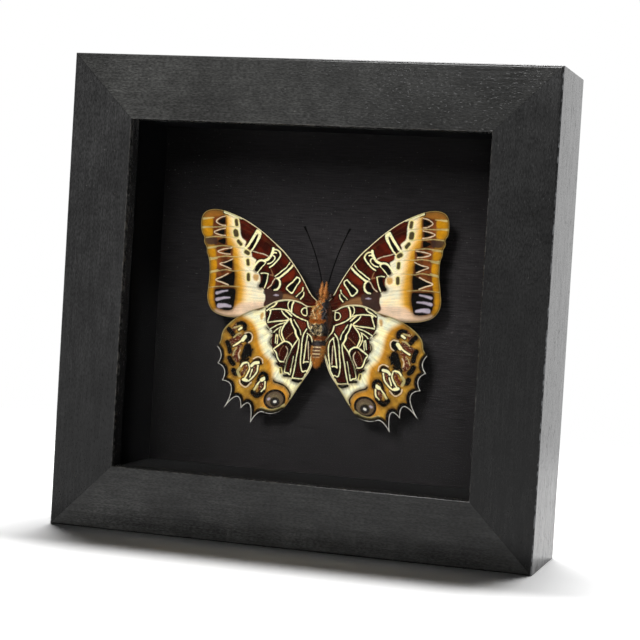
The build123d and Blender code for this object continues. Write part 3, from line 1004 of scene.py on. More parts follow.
# Each stroke is a colour, a width or the widths along it, and its points.
FOREWING_STROKES = (
    # front edge
    ("cream", 0.55, (4.0, 1.0), (5.1, 3.3), (7.5, 7.6), (9.6, 10.4), (12.4, 13.6), (14.7, 15.7)),
    ("tan", 0.45, (14.7, 15.7), (17.5, 18.2), (20.0, 20.3), (23.0, 22.2), (26.2, 24.2)),
    ("cream", (0.4, 1.0), (26.2, 24.0), (29.0, 25.2), (31.8, 26.3)),
    # first and second bar of the cell
    ("cream", 0.35, (6.1, 2.3), (6.4, 1.2), (7.4, 0.3), (8.3, -0.5)),
    ("cream", 0.35, (5.8, 0.9), (6.0, -0.2), (6.9, -1.2)),
    ("ink", (0.5, 1.1), (6.4, 0.9), (6.8, 0.2), (7.4, -0.5)),
    ("cream", 0.4, (8.1, 5.6), (7.2, 5.0), (7.3, 4.1), (8.4, 2.6), (9.6, 0.7), (10.6, 1.1),
     (11.5, 2.1), (10.9, 3.0), (9.6, 4.0), (8.1, 5.6)),
    ("ink", (0.7, 1.3), (7.8, 4.9), (8.6, 3.6), (9.6, 2.3), (10.1, 1.7)),
    # third bar
    ("cream", 0.62, (9.4, 9.3), (10.6, 8.0), (12.2, 6.7), (13.8, 5.5), (14.7, 5.2)),
    ("cream", 0.35, (10.4, 10.2), (11.3, 8.8), (13.0, 7.6), (14.2, 6.6), (15.3, 5.9)),
    ("ink", 0.42, (10.6, 9.3), (11.8, 7.9), (13.4, 6.7), (14.6, 5.9)),
    # curled bar
    ("cream", 0.8, (15.9, 14.6), (16.1, 13.6), (16.6, 12.4), (17.6, 11.3), (18.8, 10.8)),
    ("cream", 0.45, (15.9, 14.3), (14.6, 14.1), (13.7, 13.3), (13.6, 12.2), (14.6, 10.8),
     (16.0, 9.4), (17.1, 8.7)),
    ("cream", 0.4, (14.9, 13.2), (15.6, 13.3), (16.0, 12.6), (15.4, 11.9), (15.6, 11.0),
     (16.6, 10.1), (17.8, 9.8)),
    ("ink", 0.4, (14.7, 13.7), (14.3, 12.7), (14.8, 11.5), (16.0, 10.1), (17.3, 9.3)),
    ("ink", 0.4, (15.2, 12.4), (15.8, 12.7)),
    ("ink", 0.45, (16.2, 11.3), (16.8, 10.6), (17.9, 10.3)),
    # bar at the end of the cell
    ("cream", (1.5, 0.6, 0.55), (20.6, 20.1), (20.5, 18.6), (21.4, 16.6), (22.4, 15.0), (23.3, 13.8)),
    ("cream", (0.9, 0.8, 0.7), (21.2, 20.2), (22.0, 18.9), (23.3, 16.9), (24.6, 15.1), (25.4, 14.6)),
    ("ink", (0.2, 0.6, 1.0), (20.9, 19.0), (21.9, 17.2), (23.2, 15.0)),
    # fine lines of the middle cells
    ("pale", 0.32, (17.2, 12.0), (19.0, 12.8), (21.0, 13.3), (23.0, 13.9)),
    ("tan", 0.3, (17.0, 8.7), (16.3, 7.2), (16.0, 6.3), (15.3, 5.8)),
    ("tan", 0.35, (15.4, 5.8), (16.6, 6.3), (18.0, 6.4), (20.6, 7.1)),
    ("cream", 0.6, (18.6, 10.5), (19.6, 10.9), (20.8, 10.6), (22.2, 9.1), (22.9, 8.0)),
    ("cream", 0.35, (18.4, 10.2), (19.6, 8.9), (20.6, 7.8), (21.2, 7.0)),
    ("ink", (0.9, 1.3), (19.3, 9.9), (20.3, 9.3), (21.4, 8.0)),
    ("cream", 0.35, (17.6, 6.6), (17.9, 5.0), (18.2, 3.8), (18.9, 2.2)),
    ("cream", 0.3, (17.8, 6.7), (18.9, 6.9), (20.0, 6.8)),
    ("ink", 1.3, (18.8, 6.0), (18.9, 5.0), (19.3, 3.8), (20.1, 2.9)),
    ("cream", 0.6, (14.4, 5.2), (13.7, 4.2), (13.8, 2.8), (14.6, 1.8), (15.6, 1.6)),
    ("pale", 0.32, (15.0, 5.5), (15.9, 4.4), (16.6, 3.1), (17.8, 2.1)),
    ("ink", (0.8, 1.3), (14.8, 4.6), (15.0, 3.2), (16.0, 2.3)),
    # spots of the broad band
    ("dusk", 0.9, (28.2, 23.5), (28.0, 22.2)),
    ("dusk", 1.4, (28.4, 20.0), (28.2, 19.0)),
    ("dusk", 0.9, (27.5, 17.0), (26.7, 16.0)),
    ("dusk", 1.1, (25.0, 13.6), (24.3, 13.2)),
    ("dusk", 0.9, (24.4, 10.9), (24.3, 9.7)),
    ("dusk", 0.9, (24.2, 6.4), (24.2, 4.9)),
    # light outlines of the triangles
    ("pale", 0.32, (31.8, 24.9), (33.4, 24.5), (34.9, 23.3), (33.3, 22.2), (31.8, 22.0)),
    ("pale", 0.32, (31.8, 21.1), (33.8, 20.7), (35.6, 19.9), (33.6, 19.0), (31.8, 18.8)),
    ("pale", 0.32, (29.7, 14.9), (32.5, 14.5), (34.4, 13.8), (32.4, 13.1), (30.2, 12.9)),
    ("pale", 0.32, (29.4, 11.4), (31.5, 10.5), (33.8, 9.9), (31.8, 9.0), (30.0, 8.2)),
    ("pale", 0.38, (31.0, 6.8), (33.0, 5.8), (35.2, 4.8), (33.0, 4.0), (31.0, 3.2)),
    # light lines where veins reach the margin
    ("olive", 0.3, (27.0, 21.5), (31.8, 21.6), (36.0, 21.5), (39.6, 21.6)),
    ("olive", 0.3, (27.5, 18.2), (31.5, 18.3), (35.0, 18.5), (38.4, 18.2)),
    ("olive", 0.3, (25.4, 14.8), (30.0, 15.3), (33.0, 15.6), (37.6, 15.1)),
    ("olive", 0.3, (26.0, 12.0), (29.6, 12.1), (32.0, 12.3), (36.8, 11.6)),
    ("olive", 0.3, (26.0, 7.8), (29.4, 7.6), (32.0, 8.0), (36.8, 7.1)),
    ("olive", 0.25, (27.0, 2.6), (29.0, 2.7), (33.0, 2.8), (37.4, 2.4)),
    ("olive", (0.2, 0.7), (35.6, 24.5), (39.2, 24.2)),
    ("olive", (0.2, 0.7), (36.2, 21.6), (39.6, 21.5)),
    ("olive", (0.3, 1.1), (34.6, 11.6), (37.2, 11.5)),
    ("olive", (0.3, 0.8), (34.4, 8.0), (37.0, 7.2)),
    ("olive", (0.2, 0.6), (34.8, 15.1), (38.0, 14.9)),
    # violet wedges in the dark block
    ("lilac", (0.35, 0.9), (31.2, 1.4), (33.0, 1.1), (34.8, 0.6)),
    ("lilac", (0.4, 1.0), (30.5, -0.8), (32.5, -0.9), (34.8, -1.4)),
    ("lilac", (0.8, 1.5), (30.3, -3.6), (32.0, -3.3), (34.0, -3.4)),
    ("lilac", (0.2, 0.55, 0.2), (14.2, -0.1), (15.0, 0.0), (15.8, -0.1)),
)
FOREWING_PATCHES = (
    # cells near the body, then the broad light band
    ("basal", (-2.0, -6.5), (2.4, 1.5), (8.0, 10.8), (14.0, 17.4), (20.0, 21.8), (26.7, 25.4),
     (26.9, 21.5), (26.5, 18.3), (24.9, 16.9), (25.2, 15.3), (23.3, 13.6), (22.8, 12.0),
     (21.6, 11.0), (22.0, 9.0), (20.8, 7.0), (20.2, 5.0), (20.6, 2.6), (19.0, 1.8), (18.6, -1.0),
     (18.9, -3.6), (14.0, -4.2), (6.0, -6.0)),
    ("band", (26.4, 25.5), (32.2, 27.6), (30.4, 24.5), (30.0, 21.5), (29.6, 18.5), (28.6, 16.5),
     (27.5, 14.5), (26.9, 12.0), (26.4, 9.0), (25.9, 6.0), (25.5, 3.0), (25.6, 0.0), (26.2, -3.0),
     (28.4, -6.0), (28.0, -9.0), (18.0, -9.0), (17.0, -3.0), (17.5, 2.0), (19.0, 6.0), (20.0, 10.0),
     (22.0, 13.0), (24.0, 17.0)),
    ("rust", (31.7, 25.2), (31.6, 20.0), (31.2, 16.0), (29.5, 15.2), (29.4, 11.0), (29.0, 8.0),
     (28.9, 3.0), (29.2, -2.0), (32.0, -4.8), (35.4, -3.0), (35.4, 3.0), (34.9, 8.0), (34.8, 12.0),
     (35.2, 15.0), (36.0, 17.5), (36.0, 21.0), (35.8, 25.0)),
    ("rust", (17.9, 11.8), (19.0, 12.6), (22.6, 13.3), (22.9, 12.1), (20.4, 11.2)),
    ("rust", (5.6, 3.4), (6.6, 4.6), (8.4, 2.2), (9.2, 0.6), (7.4, 0.6)),
    ("rust", (24.7, 17.4), (25.9, 17.4), (25.4, 15.6)),
    ("rust", (9.0, 7.6), (10.0, 7.4), (12.8, 5.4), (13.2, 4.0), (11.0, 4.4), (9.0, 6.0)),
    # dark triangles
    ("ink", (32.0, 24.4), (33.2, 24.1), (34.2, 23.3), (33.2, 22.7), (32.0, 22.5)),
    ("ink", (32.3, 20.7), (33.4, 20.4), (34.6, 19.9), (33.2, 19.3), (32.3, 19.2)),
    ("ink", (32.0, 17.9), (33.5, 17.6), (34.4, 17.0), (33.4, 16.4), (32.0, 16.1)),
    ("ink", (30.0, 14.4), (31.2, 14.2), (32.5, 13.7), (31.2, 13.3), (30.4, 13.2)),
    ("ink", (29.7, 10.9), (31.3, 10.3), (32.7, 9.8), (31.0, 9.0), (29.7, 8.5)),
    ("ink", (28.9, 7.2), (31.0, 6.4), (33.5, 5.3), (34.7, 4.7), (32.5, 4.2), (31.0, 3.4), (29.2, 3.0)),
    ("ink", (8.2, 4.8), (9.3, 2.0), (10.2, 1.7), (10.9, 2.3), (9.5, 3.5)),
    ("ink", (28.9, 2.0), (31.5, 2.1), (35.2, 1.8), (35.4, -1.0), (35.0, -3.5), (33.0, -4.6),
     (29.8, -4.6), (28.9, -2.0), (28.6, 0.0)),
    # golden spots
    ("gold", (36.3, 24.2), (39.3, 24.0), (39.6, 22.2), (36.5, 22.0)),
    ("gold", (36.6, 21.1), (39.5, 21.0), (39.2, 18.9), (36.4, 19.0)),
    ("gold", (35.6, 14.5), (37.6, 14.4), (37.5, 12.3), (35.4, 12.4)),
    ("gold", (35.2, 10.8), (37.0, 10.8), (36.9, 7.9), (35.0, 8.4)),
    ("gold", (35.2, 6.6), (37.1, 6.4), (37.2, 2.9), (35.6, 2.9)),
    ("gold", (36.0, 1.8), (37.6, 1.8), (37.6, -1.3), (36.1, -1.2)),
    ("gold", (35.6, -2.1), (37.3, -2.0), (36.6, -4.0), (35.2, -4.6)),
    ("gold", (20.7, 6.3), (22.4, 6.5), (22.5, 4.9), (21.2, 4.5)),
    # dark cloud beside the body and at the apex notch
    ("cloud", (12.7, 0.2), (13.3, 1.2), (15.0, 1.7), (17.6, 2.0), (19.0, 1.6), (19.1, 0.6),
     (18.3, -0.4), (18.4, -2.0), (18.8, -3.6), (17.3, -4.4), (15.0, -4.0), (12.9, -1.0)),
    ("cloud", (34.6, 18.0), (36.0, 18.2), (38.6, 18.0), (38.0, 16.2), (36.0, 16.0), (34.6, 16.3)),
    ("tanned", (5.0, -4.0), (6.6, -2.2), (9.0, -0.6), (12.5, 0.2), (12.8, -2.6), (8.0, -4.0)),
    ("apex", (31.5, 27.0), (34.0, 28.0), (39.0, 27.5), (40.0, 24.9), (36.0, 24.7), (32.6, 25.4)),
    ("blush", (17.0, -1.2), (19.0, -2.0), (26.0, -2.4), (29.0, -3.9), (33.0, -4.9), (35.4, -4.6),
     (34.0, -8.0), (17.0, -8.0)),
)
HINDWING_STROKES = (
    # front edge and the cells along it
    ("cream", 0.45, (4.6, -4.3), (6.0, -3.3), (8.0, -2.6), (10.0, -2.3), (12.0, -2.3), (14.0, -2.7),
     (16.0, -3.6), (17.8, -4.5)),
    ("cream", 0.3, (4.7, -4.6), (5.9, -4.8), (6.4, -5.8), (5.8, -6.8), (4.7, -6.9), (4.6, -5.6),
     (4.7, -4.6)),
    ("ink", 0.8, (5.3, -5.2), (5.2, -6.2)),
    ("cream", 0.5, (8.9, -2.7), (9.4, -3.8), (9.6, -5.0), (9.6, -6.2)),
    ("ink", 0.45, (9.5, -2.7), (10.0, -3.6), (10.2, -4.8)),
    ("cream", 0.3, (10.2, -2.4), (10.8, -3.4), (10.7, -4.6), (10.2, -5.3)),
    ("cream", 0.4, (9.8, -5.9), (11.2, -5.4), (13.5, -5.1), (16.0, -5.2), (16.8, -5.6)),
    ("cream", 0.4, (14.4, -2.9), (15.0, -3.9), (16.6, -4.8), (17.8, -5.6)),
    ("ink", 0.4, (15.3, -3.3), (16.3, -3.9), (17.3, -4.6)),
    ("cream", 0.4, (9.6, -7.2), (10.6, -6.3), (11.5, -5.6)),
    ("ink", 0.4, (10.4, -7.3), (12.0, -6.0)),
    ("cream", 0.35, (10.6, -8.0), (12.2, -6.6), (12.9, -5.6)),
    ("cream", 0.35, (4.8, -8.6), (6.5, -8.0), (8.2, -7.2), (9.6, -6.2)),
    ("cream", 0.35, (16.4, -5.6), (16.8, -7.0), (17.4, -8.8)),
    ("ink", (0.6, 0.3), (17.2, -6.2), (17.4, -7.2), (17.9, -8.4)),
    ("cream", 0.4, (10.3, -8.3), (12.0, -8.7), (14.5, -8.9), (17.4, -9.3)),
    ("cream", 0.3, (11.8, -9.3), (14.0, -10.0), (15.8, -10.9), (16.7, -11.5)),
    ("cream", 0.3, (13.0, -10.6), (14.5, -11.5), (15.4, -12.4)),
    # thick slanting bar
    ("cream", 0.6, (9.9, -8.2), (9.3, -9.8), (8.4, -11.4), (8.2, -12.8), (7.4, -14.2)),
    ("cream", 0.3, (8.8, -8.4), (7.8, -10.0), (6.9, -11.4), (6.5, -13.0)),
    ("ink", 0.5, (9.2, -8.9), (8.7, -10.2), (7.9, -11.4)),
    ("ink", 0.85, (7.5, -11.8), (7.1, -13.4)),
    ("cream", 0.45, (10.7, -8.6), (12.0, -10.2), (12.8, -11.8), (12.8, -13.0), (12.3, -14.2),
     (11.8, -15.2)),
    ("tan", 0.25, (9.1, -12.3), (10.4, -13.4), (11.7, -14.8)),
    # small loops
    ("cream", 0.3, (13.2, -11.0), (13.6, -12.2), (13.4, -13.6), (12.5, -15.2)),
    ("cream", 0.3, (14.2, -13.2), (14.1, -14.6), (14.3, -16.0)),
    ("cream", 0.3, (14.6, -13.0), (14.8, -14.5), (14.9, -15.8)),
    ("ink", 0.4, (13.7, -13.8), (13.4, -15.0)),
    ("ink", 0.32, (15.2, -13.8), (16.2, -14.2), (16.6, -15.6), (15.9, -16.6), (15.2, -15.4), (15.2, -13.8)),
    ("ink", 0.3, (15.2, -12.9), (16.2, -12.8)),
    ("ink", 0.3, (17.1, -11.6), (17.8, -11.0)),
    # shield-shaped cell
    ("cream", 0.45, (9.3, -17.0), (9.8, -16.0), (11.0, -15.3), (12.2, -15.3), (13.5, -16.2), (15.4, -17.6)),
    ("cream", 0.4, (15.4, -17.8), (14.6, -18.8), (14.2, -20.2), (13.4, -21.4), (12.0, -21.6)),
    ("ink", 0.42, (10.2, -18.2), (10.4, -16.8), (11.6, -15.9), (12.8, -16.4)),
    ("pale", 0.28, (11.4, -16.8), (10.8, -17.8), (11.0, -19.2), (12.0, -21.3)),
    ("tan", 0.25, (12.3, -16.5), (13.2, -18.0), (13.8, -20.0)),
    ("ink", 0.45, (15.6, -19.2), (14.6, -20.4)),
    ("ink", 0.7, (12.0, -22.5), (13.0, -22.9), (14.2, -22.2)),
    # long narrow cells
    ("ink", 0.3, (9.8, -17.5), (10.4, -19.5), (11.3, -22.0), (12.2, -24.6)),
    ("cream", 0.35, (7.4, -14.4), (8.6, -16.0), (9.6, -17.6), (11.0, -21.0), (11.8, -24.0), (11.6, -24.9),
     (10.6, -25.1), (10.0, -25.6), (9.6, -23.0), (8.9, -19.8)),
    ("cream", 0.35, (7.0, -14.6), (7.3, -17.0), (7.9, -20.0), (8.6, -24.0), (9.3, -26.8)),
    ("ink", 0.28, (6.7, -14.0), (6.9, -17.0), (7.6, -21.0), (8.4, -25.0)),
    ("ink", 0.35, (8.4, -17.0), (9.2, -20.0), (9.8, -23.5)),
    ("ink", 0.7, (9.8, -26.1), (11.9, -25.9)),
    ("cream", 0.3, (5.0, -25.3), (5.9, -26.7), (8.8, -26.6)),
    ("ink", 0.8, (6.3, -27.3), (7.4, -27.7), (9.1, -27.2)),
    ("cream", 0.35, (4.6, -11.2), (5.6, -12.8), (6.1, -15.0), (6.3, -18.0), (6.6, -21.0), (6.4, -23.2),
     (5.9, -24.5), (4.8, -24.2), (4.4, -24.6)),
    ("ink", 0.35, (5.2, -13.0), (5.7, -16.0), (6.0, -20.0), (6.0, -23.0)),
    ("cream", 0.35, (4.4, -12.5), (3.2, -13.6), (2.7, -15.5), (2.8, -18.0), (3.2, -20.6), (3.5, -22.6),
     (4.4, -24.4)),
    ("cream", 0.35, (4.3, -13.0), (4.8, -16.0), (5.2, -19.0), (5.6, -21.8)),
    ("ink", 0.5, (3.6, -14.8), (3.4, -17.0), (3.6, -20.0)),
    ("pale", 0.28, (4.1, -15.0), (4.0, -18.0), (3.9, -20.8)),
    ("ink", 0.3, (4.4, -15.6), (4.7, -18.0), (5.0, -20.6)),
    ("cream", 0.4, (4.0, -21.4), (5.6, -21.5)),
    ("ink", 1.5, (4.6, -22.3), (5.3, -22.9)),
    ("cream", 0.4, (4.4, -8.8), (3.9, -10.6), (2.4, -12.5), (1.1, -14.6), (1.0, -16.5), (1.9, -18.8),
     (2.7, -21.2), (4.0, -24.2), (5.8, -26.8), (7.8, -29.8), (9.9, -33.1)),
    ("dusk", 0.35, (13.2, -23.8), (13.0, -25.0)),
    # lunules of the outer zone
    ("ink", 1.25, (25.0, -11.6), (25.0, -10.4), (26.0, -9.7), (27.2, -10.0)),
    ("olive", 0.5, (26.6, -10.6), (27.6, -10.9), (28.6, -11.2)),
    ("cream", 0.7, (26.2, -11.2), (27.0, -11.8)),
    ("rust", 1.6, (27.5, -10.2), (28.4, -11.2), (28.9, -12.0)),
    ("ink", 1.5, (30.4, -11.7), (29.6, -12.5), (28.9, -13.4)),
    ("pale", 0.4, (25.0, -12.9), (23.5, -12.6), (22.5, -13.6), (22.8, -15.1), (23.7, -15.8)),
    ("ink", 1.5, (23.7, -13.2), (23.5, -14.2), (24.2, -15.2)),
    ("cream", 1.2, (24.8, -13.9), (25.7, -15.0)),
    ("cream", 0.55, (25.8, -15.0), (27.2, -16.0), (28.7, -16.9)),
    ("olive", 0.5, (26.3, -12.9), (27.4, -13.2), (28.6, -14.2)),
    ("rust", 2.0, (26.8, -13.7), (28.2, -14.9), (29.4, -15.6)),
    ("rust", 1.2, (26.2, -16.6), (27.8, -17.9)),
    ("ink", 1.5, (30.8, -15.9), (30.2, -17.2), (29.9, -18.8)),
    ("ink", (2.4, 3.0, 2.0), (24.0, -17.2), (24.2, -18.7), (25.2, -20.3)),
    ("ink", (0.5, 1.3, 0.6), (22.4, -17.9), (23.2, -18.8), (23.0, -20.0)),
    ("rust", 2.0, (27.6, -18.4), (28.3, -19.6), (27.4, -21.2)),
    ("pale", 0.4, (26.4, -18.2), (27.0, -19.4), (26.7, -20.8)),
    ("olive", 0.45, (27.6, -17.6), (28.4, -18.6), (28.8, -20.0)),
    ("ink", 1.6, (30.0, -20.8), (29.5, -21.8), (28.7, -22.6)),
    ("ink", 0.7, (23.7, -20.9), (24.6, -21.4), (25.8, -21.2), (26.3, -22.0)),
    ("pale", 0.35, (18.9, -22.2), (19.2, -20.9), (20.6, -20.2), (22.1, -20.9)),
    ("ink", 0.6, (19.5, -22.4), (19.9, -21.2), (20.7, -20.9), (21.8, -21.4)),
    ("cream", 0.9, (20.4, -22.0), (21.8, -22.3), (22.6, -23.1)),
    ("cream", 0.6, (24.2, -22.1), (25.4, -22.4), (26.2, -23.4)),
    ("cream", 0.45, (23.7, -22.2), (23.3, -24.0), (24.2, -26.0), (25.2, -27.5)),
    ("cream", 0.5, (20.5, -23.0), (20.9, -25.0), (22.3, -26.8), (23.6, -27.9)),
    ("cream", 0.4, (22.4, -24.2), (23.2, -26.6)),
    ("olive", 0.9, (26.4, -23.8), (27.2, -25.0), (26.6, -26.4)),
    ("rust", 1.7, (21.6, -23.4), (22.4, -25.0), (23.6, -26.9)),
    ("rust", 1.3, (24.4, -22.9), (24.9, -24.4), (25.9, -25.9)),
    ("ink", 1.7, (27.3, -25.2), (28.0, -25.6), (28.6, -24.7)),
    ("pale", 0.45, (22.7, -28.3), (24.4, -29.8), (26.2, -28.9), (26.6, -27.7)),
    ("cream", 1.0, (24.2, -27.7), (25.3, -27.5)),
    ("ink", 0.9, (23.7, -28.6), (24.7, -29.0), (25.8, -28.2)),
    ("ink", (1.2, 1.1, 0.6), (17.5, -27.2), (17.7, -25.9), (18.9, -25.3), (20.0, -26.2), (20.6, -27.6)),
    ("cream", 1.1, (18.5, -27.0), (19.3, -27.5)),
    ("cream", 0.5, (18.1, -28.0), (18.3, -30.0), (19.5, -31.3)),
    ("cream", 0.4, (19.8, -27.9), (20.9, -29.2), (21.6, -30.4)),
    ("olive", 0.7, (20.7, -29.4), (21.7, -30.6)),
    ("rust", 1.8, (19.1, -28.7), (19.6, -30.2)),
    ("rust", 0.9, (20.4, -27.9), (21.2, -28.8)),
    ("ink", 1.7, (19.9, -31.9), (21.0, -32.4), (22.1, -31.4)),
    ("ink", 0.9, (18.4, -31.0), (19.4, -32.0)),
    ("fringe", 0.26, (12.4, -36.9), (14.0, -37.6), (16.2, -38.0), (18.0, -37.8)),
    # lights in the eye spot, the arc over it and the edge of the corner below it
    ("lilac", 1.5, (14.5, -34.1), (15.2, -34.3)),
    ("lilac", 0.7, (16.6, -33.3), (17.0, -33.5)),
    ("fringe", 0.8, (14.7, -34.15), (15.0, -34.25)),
    ("ink", 0.42, (9.9, -32.7), (10.0, -31.2), (11.4, -29.4), (13.2, -28.5), (14.9, -28.0), (15.4, -27.4)),
    ("ink", 0.25, (12.0, -35.9), (14.0, -37.0), (16.5, -37.6), (18.6, -37.3)),
    ("olive", 0.9, (11.8, -35.2), (13.6, -36.4), (16.5, -37.0), (19.4, -36.3)),
    ("olive", 0.3, (28.6, -8.7), (31.0, -10.8), (32.4, -12.8), (32.8, -15.0), (33.8, -17.1)),
)
HINDWING_PATCHES = (
    ("basal", (0.0, -8.0), (4.4, -3.6), (10.0, -1.8), (15.0, -2.4), (17.9, -4.5), (18.2, -8.0),
     (17.5, -10.5), (15.9, -12.4), (16.3, -15.8), (15.4, -18.6), (14.3, -21.6), (12.0, -24.9),
     (9.4, -26.6), (6.0, -27.0), (0.0, -21.0), (-1.0, -14.0)),
    ("band", (16.0, -2.0), (22.0, -4.0), (26.2, -6.6), (22.7, -9.0), (20.8, -12.0), (20.0, -16.0),
     (18.5, -19.3), (16.2, -21.6), (15.6, -25.0), (15.0, -28.0), (11.6, -29.2), (9.9, -32.0),
     (8.0, -34.0), (3.0, -26.0), (6.0, -24.0), (12.0, -20.0), (14.0, -10.0)),
    ("rust", (18.7, -4.2), (20.0, -4.7), (21.8, -5.5), (20.4, -5.6), (19.0, -5.0)),
    ("gold", (18.8, -6.4), (19.8, -6.6), (19.9, -8.2), (19.2, -8.4)),
    ("tanned", (0.5, -15.0), (2.2, -12.8), (3.0, -13.4), (2.2, -16.0), (2.6, -20.0), (1.5, -18.4)),
    ("rust", (4.8, -3.9), (8.6, -3.0), (9.0, -5.6), (6.6, -7.4), (5.0, -8.0)),
    ("rust", (5.0, -9.0), (8.0, -8.4), (6.8, -11.6), (5.2, -11.4)),
)
# Greatest width of the black border in each notch.
NOTCH_BORDERS = (1.9, 2.3, 2.4, 2.2, 2.4, 1.2)
EYE = {"centre": (14.95, -33.5), "size": (3.7, 3.2), "turn": radians(-15), "ring": 0.7}
# Veins as paths that fan out from the shoulder. They stand a little off the membrane.
FOREWING_VEINS = (
    ((3.0, -1.0), (9.0, 8.0), (15.0, 14.6), (22.0, 20.0), (31.0, 25.6)),
    ((15.0, 14.6), (22.0, 19.0), (29.0, 21.5), (39.6, 21.6)),
    ((17.2, 12.0), (23.0, 14.0), (29.0, 18.2), (38.6, 18.2)),
    ((17.2, 12.0), (23.0, 13.9), (30.0, 15.2), (38.0, 15.0)),
    ((3.0, -1.5), (10.0, 5.0), (17.2, 12.0), (24.0, 12.0), (37.2, 11.6)),
    ((12.0, 3.0), (18.0, 6.5), (24.0, 7.8), (37.0, 7.1)),
    ((3.0, -2.0), (12.0, 0.8), (20.0, 2.3), (29.0, 2.7), (37.5, 2.4)),
    ((3.0, -2.5), (12.0, -2.4), (22.0, -3.7), (36.2, -4.0)),
)
HINDWING_VEINS = (
    ((3.0, -7.0), (9.8, -6.0), (18.0, -5.0), (30.0, -9.5)),
    ((9.8, -8.2), (17.5, -9.3), (26.0, -11.8), (33.2, -15.5)),
    ((9.8, -8.2), (14.0, -11.0), (24.0, -16.2), (33.6, -21.8)),
    ((12.3, -14.8), (18.0, -19.0), (26.0, -24.0), (31.8, -27.2)),
    ((12.3, -14.8), (16.0, -20.0), (22.5, -27.5), (28.8, -31.6)),
    ((7.2, -14.4), (11.5, -21.0), (16.5, -29.0), (24.6, -33.6)),
    ((6.0, -12.0), (8.0, -21.0), (12.0, -29.0), (20.2, -37.4)),
)


def eye_distance(where):
    """Distance from the eye spot's edge, inside it negative."""
    turn = EYE["turn"]
    off = where - np.array(EYE["centre"])
    x = off[:, 0] * cos(turn) + off[:, 1] * sin(turn)
    y = off[:, 1] * cos(turn) - off[:, 0] * sin(turn)
    wide, high = EYE["size"]
    return (np.sqrt((x / wide) ** 2 + (y / high) ** 2) - 1) * (wide + high) / 2


def draw_forewing(paint):
    for name, width, *points in FOREWING_STROKES:
        paint.stroke(name, width, points)
    for name, *points in FOREWING_PATCHES:
        paint.patch(name, points)


def draw_hindwing(paint):
    for name, width, *points in HINDWING_STROKES:
        paint.stroke(name, width, points)
    for name, *points in HINDWING_PATCHES:
        paint.patch(name, points)
    for curve, width in zip(hindwing_notches(), NOTCH_BORDERS):
        paint.stroke("ink", (0.5, width, width, 0.5), curve)
        paint.stroke("fringe", 0.34, curve)
    layer = paint.layer("eye")
    layer[:] = np.minimum(layer, eye_distance(paint.where))


# --- wings: mesh -----------------------------------------------------------------------
# Shares of the mesh step: between rows of points, and between the rows and the rim.
ROW_SPACING = 0.866
RIM_CLEARANCE = 0.55
# Relief in mm. The swell is given in mm for each radian, and the ruffle in radians for each mm.
VEIN_SPREAD = 0.16
SWELL = {"height": 0.16, "across": 6.5, "up": 9.0}
RUFFLE = {"height": 0.05, "up": 1.1, "across": 0.35, "full_at": 36}
# Each side's sign, then the turn of each of its wings and its lift in mm.
WING_SETS = {
    "left": (-1, {"forewing": (radians(-1.34), 0.65), "hindwing": (radians(-0.67), 1.21)}),
    "right": (1, {"forewing": (0.0, 0.0), "hindwing": (0.0, 0.0)}),
}
SHOULDERS = {"forewing": (0.0, -3.0), "hindwing": (1.0, -4.0)}
SET_BACK = {"forewing": 0.1 * MM, "hindwing": 0.0}


def wing_points(outline, step):
    """Points of an even triangular grid inside an outline, after the outline's own points."""
    runs = np.linalg.norm(np.roll(outline, -1, axis=0) - outline, axis=1)
    rim = []
    for start, end, run in zip(outline, np.roll(outline, -1, axis=0), runs):
        count = max(1, int(round(run / step)))
        rim += [start + (end - start) * k / count for k in range(count)]
    rim = np.array(rim)
    low, high = outline.min(axis=0), outline.max(axis=0)
    rows = np.arange(low[1], high[1], step * ROW_SPACING)
    grid = [
        (x, y)
        for row, y in enumerate(rows)
        for x in np.arange(low[0] + (row % 2) * step / 2, high[0], step)
    ]
    grid = np.array(grid)
    grid = grid[inside(grid, outline)]
    clear = path_distance(grid, np.vstack([outline, outline[:1]]), (0, 0)) > step * RIM_CLEARANCE
    return rim, grid[clear]


def wing_sheet(outline, step):
    """Flat points and triangles of a wing."""
    rim, grid = wing_points(outline, step)
    count = len(rim)
    edges = [(k, (k + 1) % count) for k in range(count)]
    points = [Vector(p) for p in np.vstack([rim, grid])]
    flat, _, faces, _, _, _ = delaunay_2d_cdt(points, edges, [], 1, 1e-5)
    return np.array([tuple(p) for p in flat]), [tuple(face) for face in faces]


class WingKind:
    """One shape of wing: where its points are, what is drawn on it and how high it stands."""

    def __init__(self, outline, draw, veins, shoulder, step):
        self.flat, self.faces = wing_sheet(outline, step / MM)
        paint = Paint(self.flat)
        draw(paint)
        for vein in veins:
            paint.stroke("vein", 0.0, vein)
        closed = np.vstack([outline, outline[:1]])
        paint.layer("edge")[:] = path_distance(self.flat, closed, (0, 0))
        spokes = self.flat - np.array(shoulder)
        self.layers = paint.layers
        self.layers["fan"] = np.arctan2(spokes[:, 1], spokes[:, 0])
        self.layers["reach"] = np.linalg.norm(spokes, axis=1)


def wing_relief(kind, settings):
    """How far each point of a wing stands towards the viewer, in mm."""
    u, v = kind.flat[:, 0], kind.flat[:, 1]
    ridge = np.exp(-(np.clip(kind.layers["vein"], 0, None) / VEIN_SPREAD) ** 2)
    swell = SWELL["height"] * np.sin(u / SWELL["across"]) * np.cos(v / SWELL["up"])
    waves = np.sin(v * RUFFLE["up"] + u * RUFFLE["across"])
    ruffle = RUFFLE["height"] * waves * np.clip(u / RUFFLE["full_at"], 0, 1)
    return ridge * settings.vein_height / MM + swell + ruffle


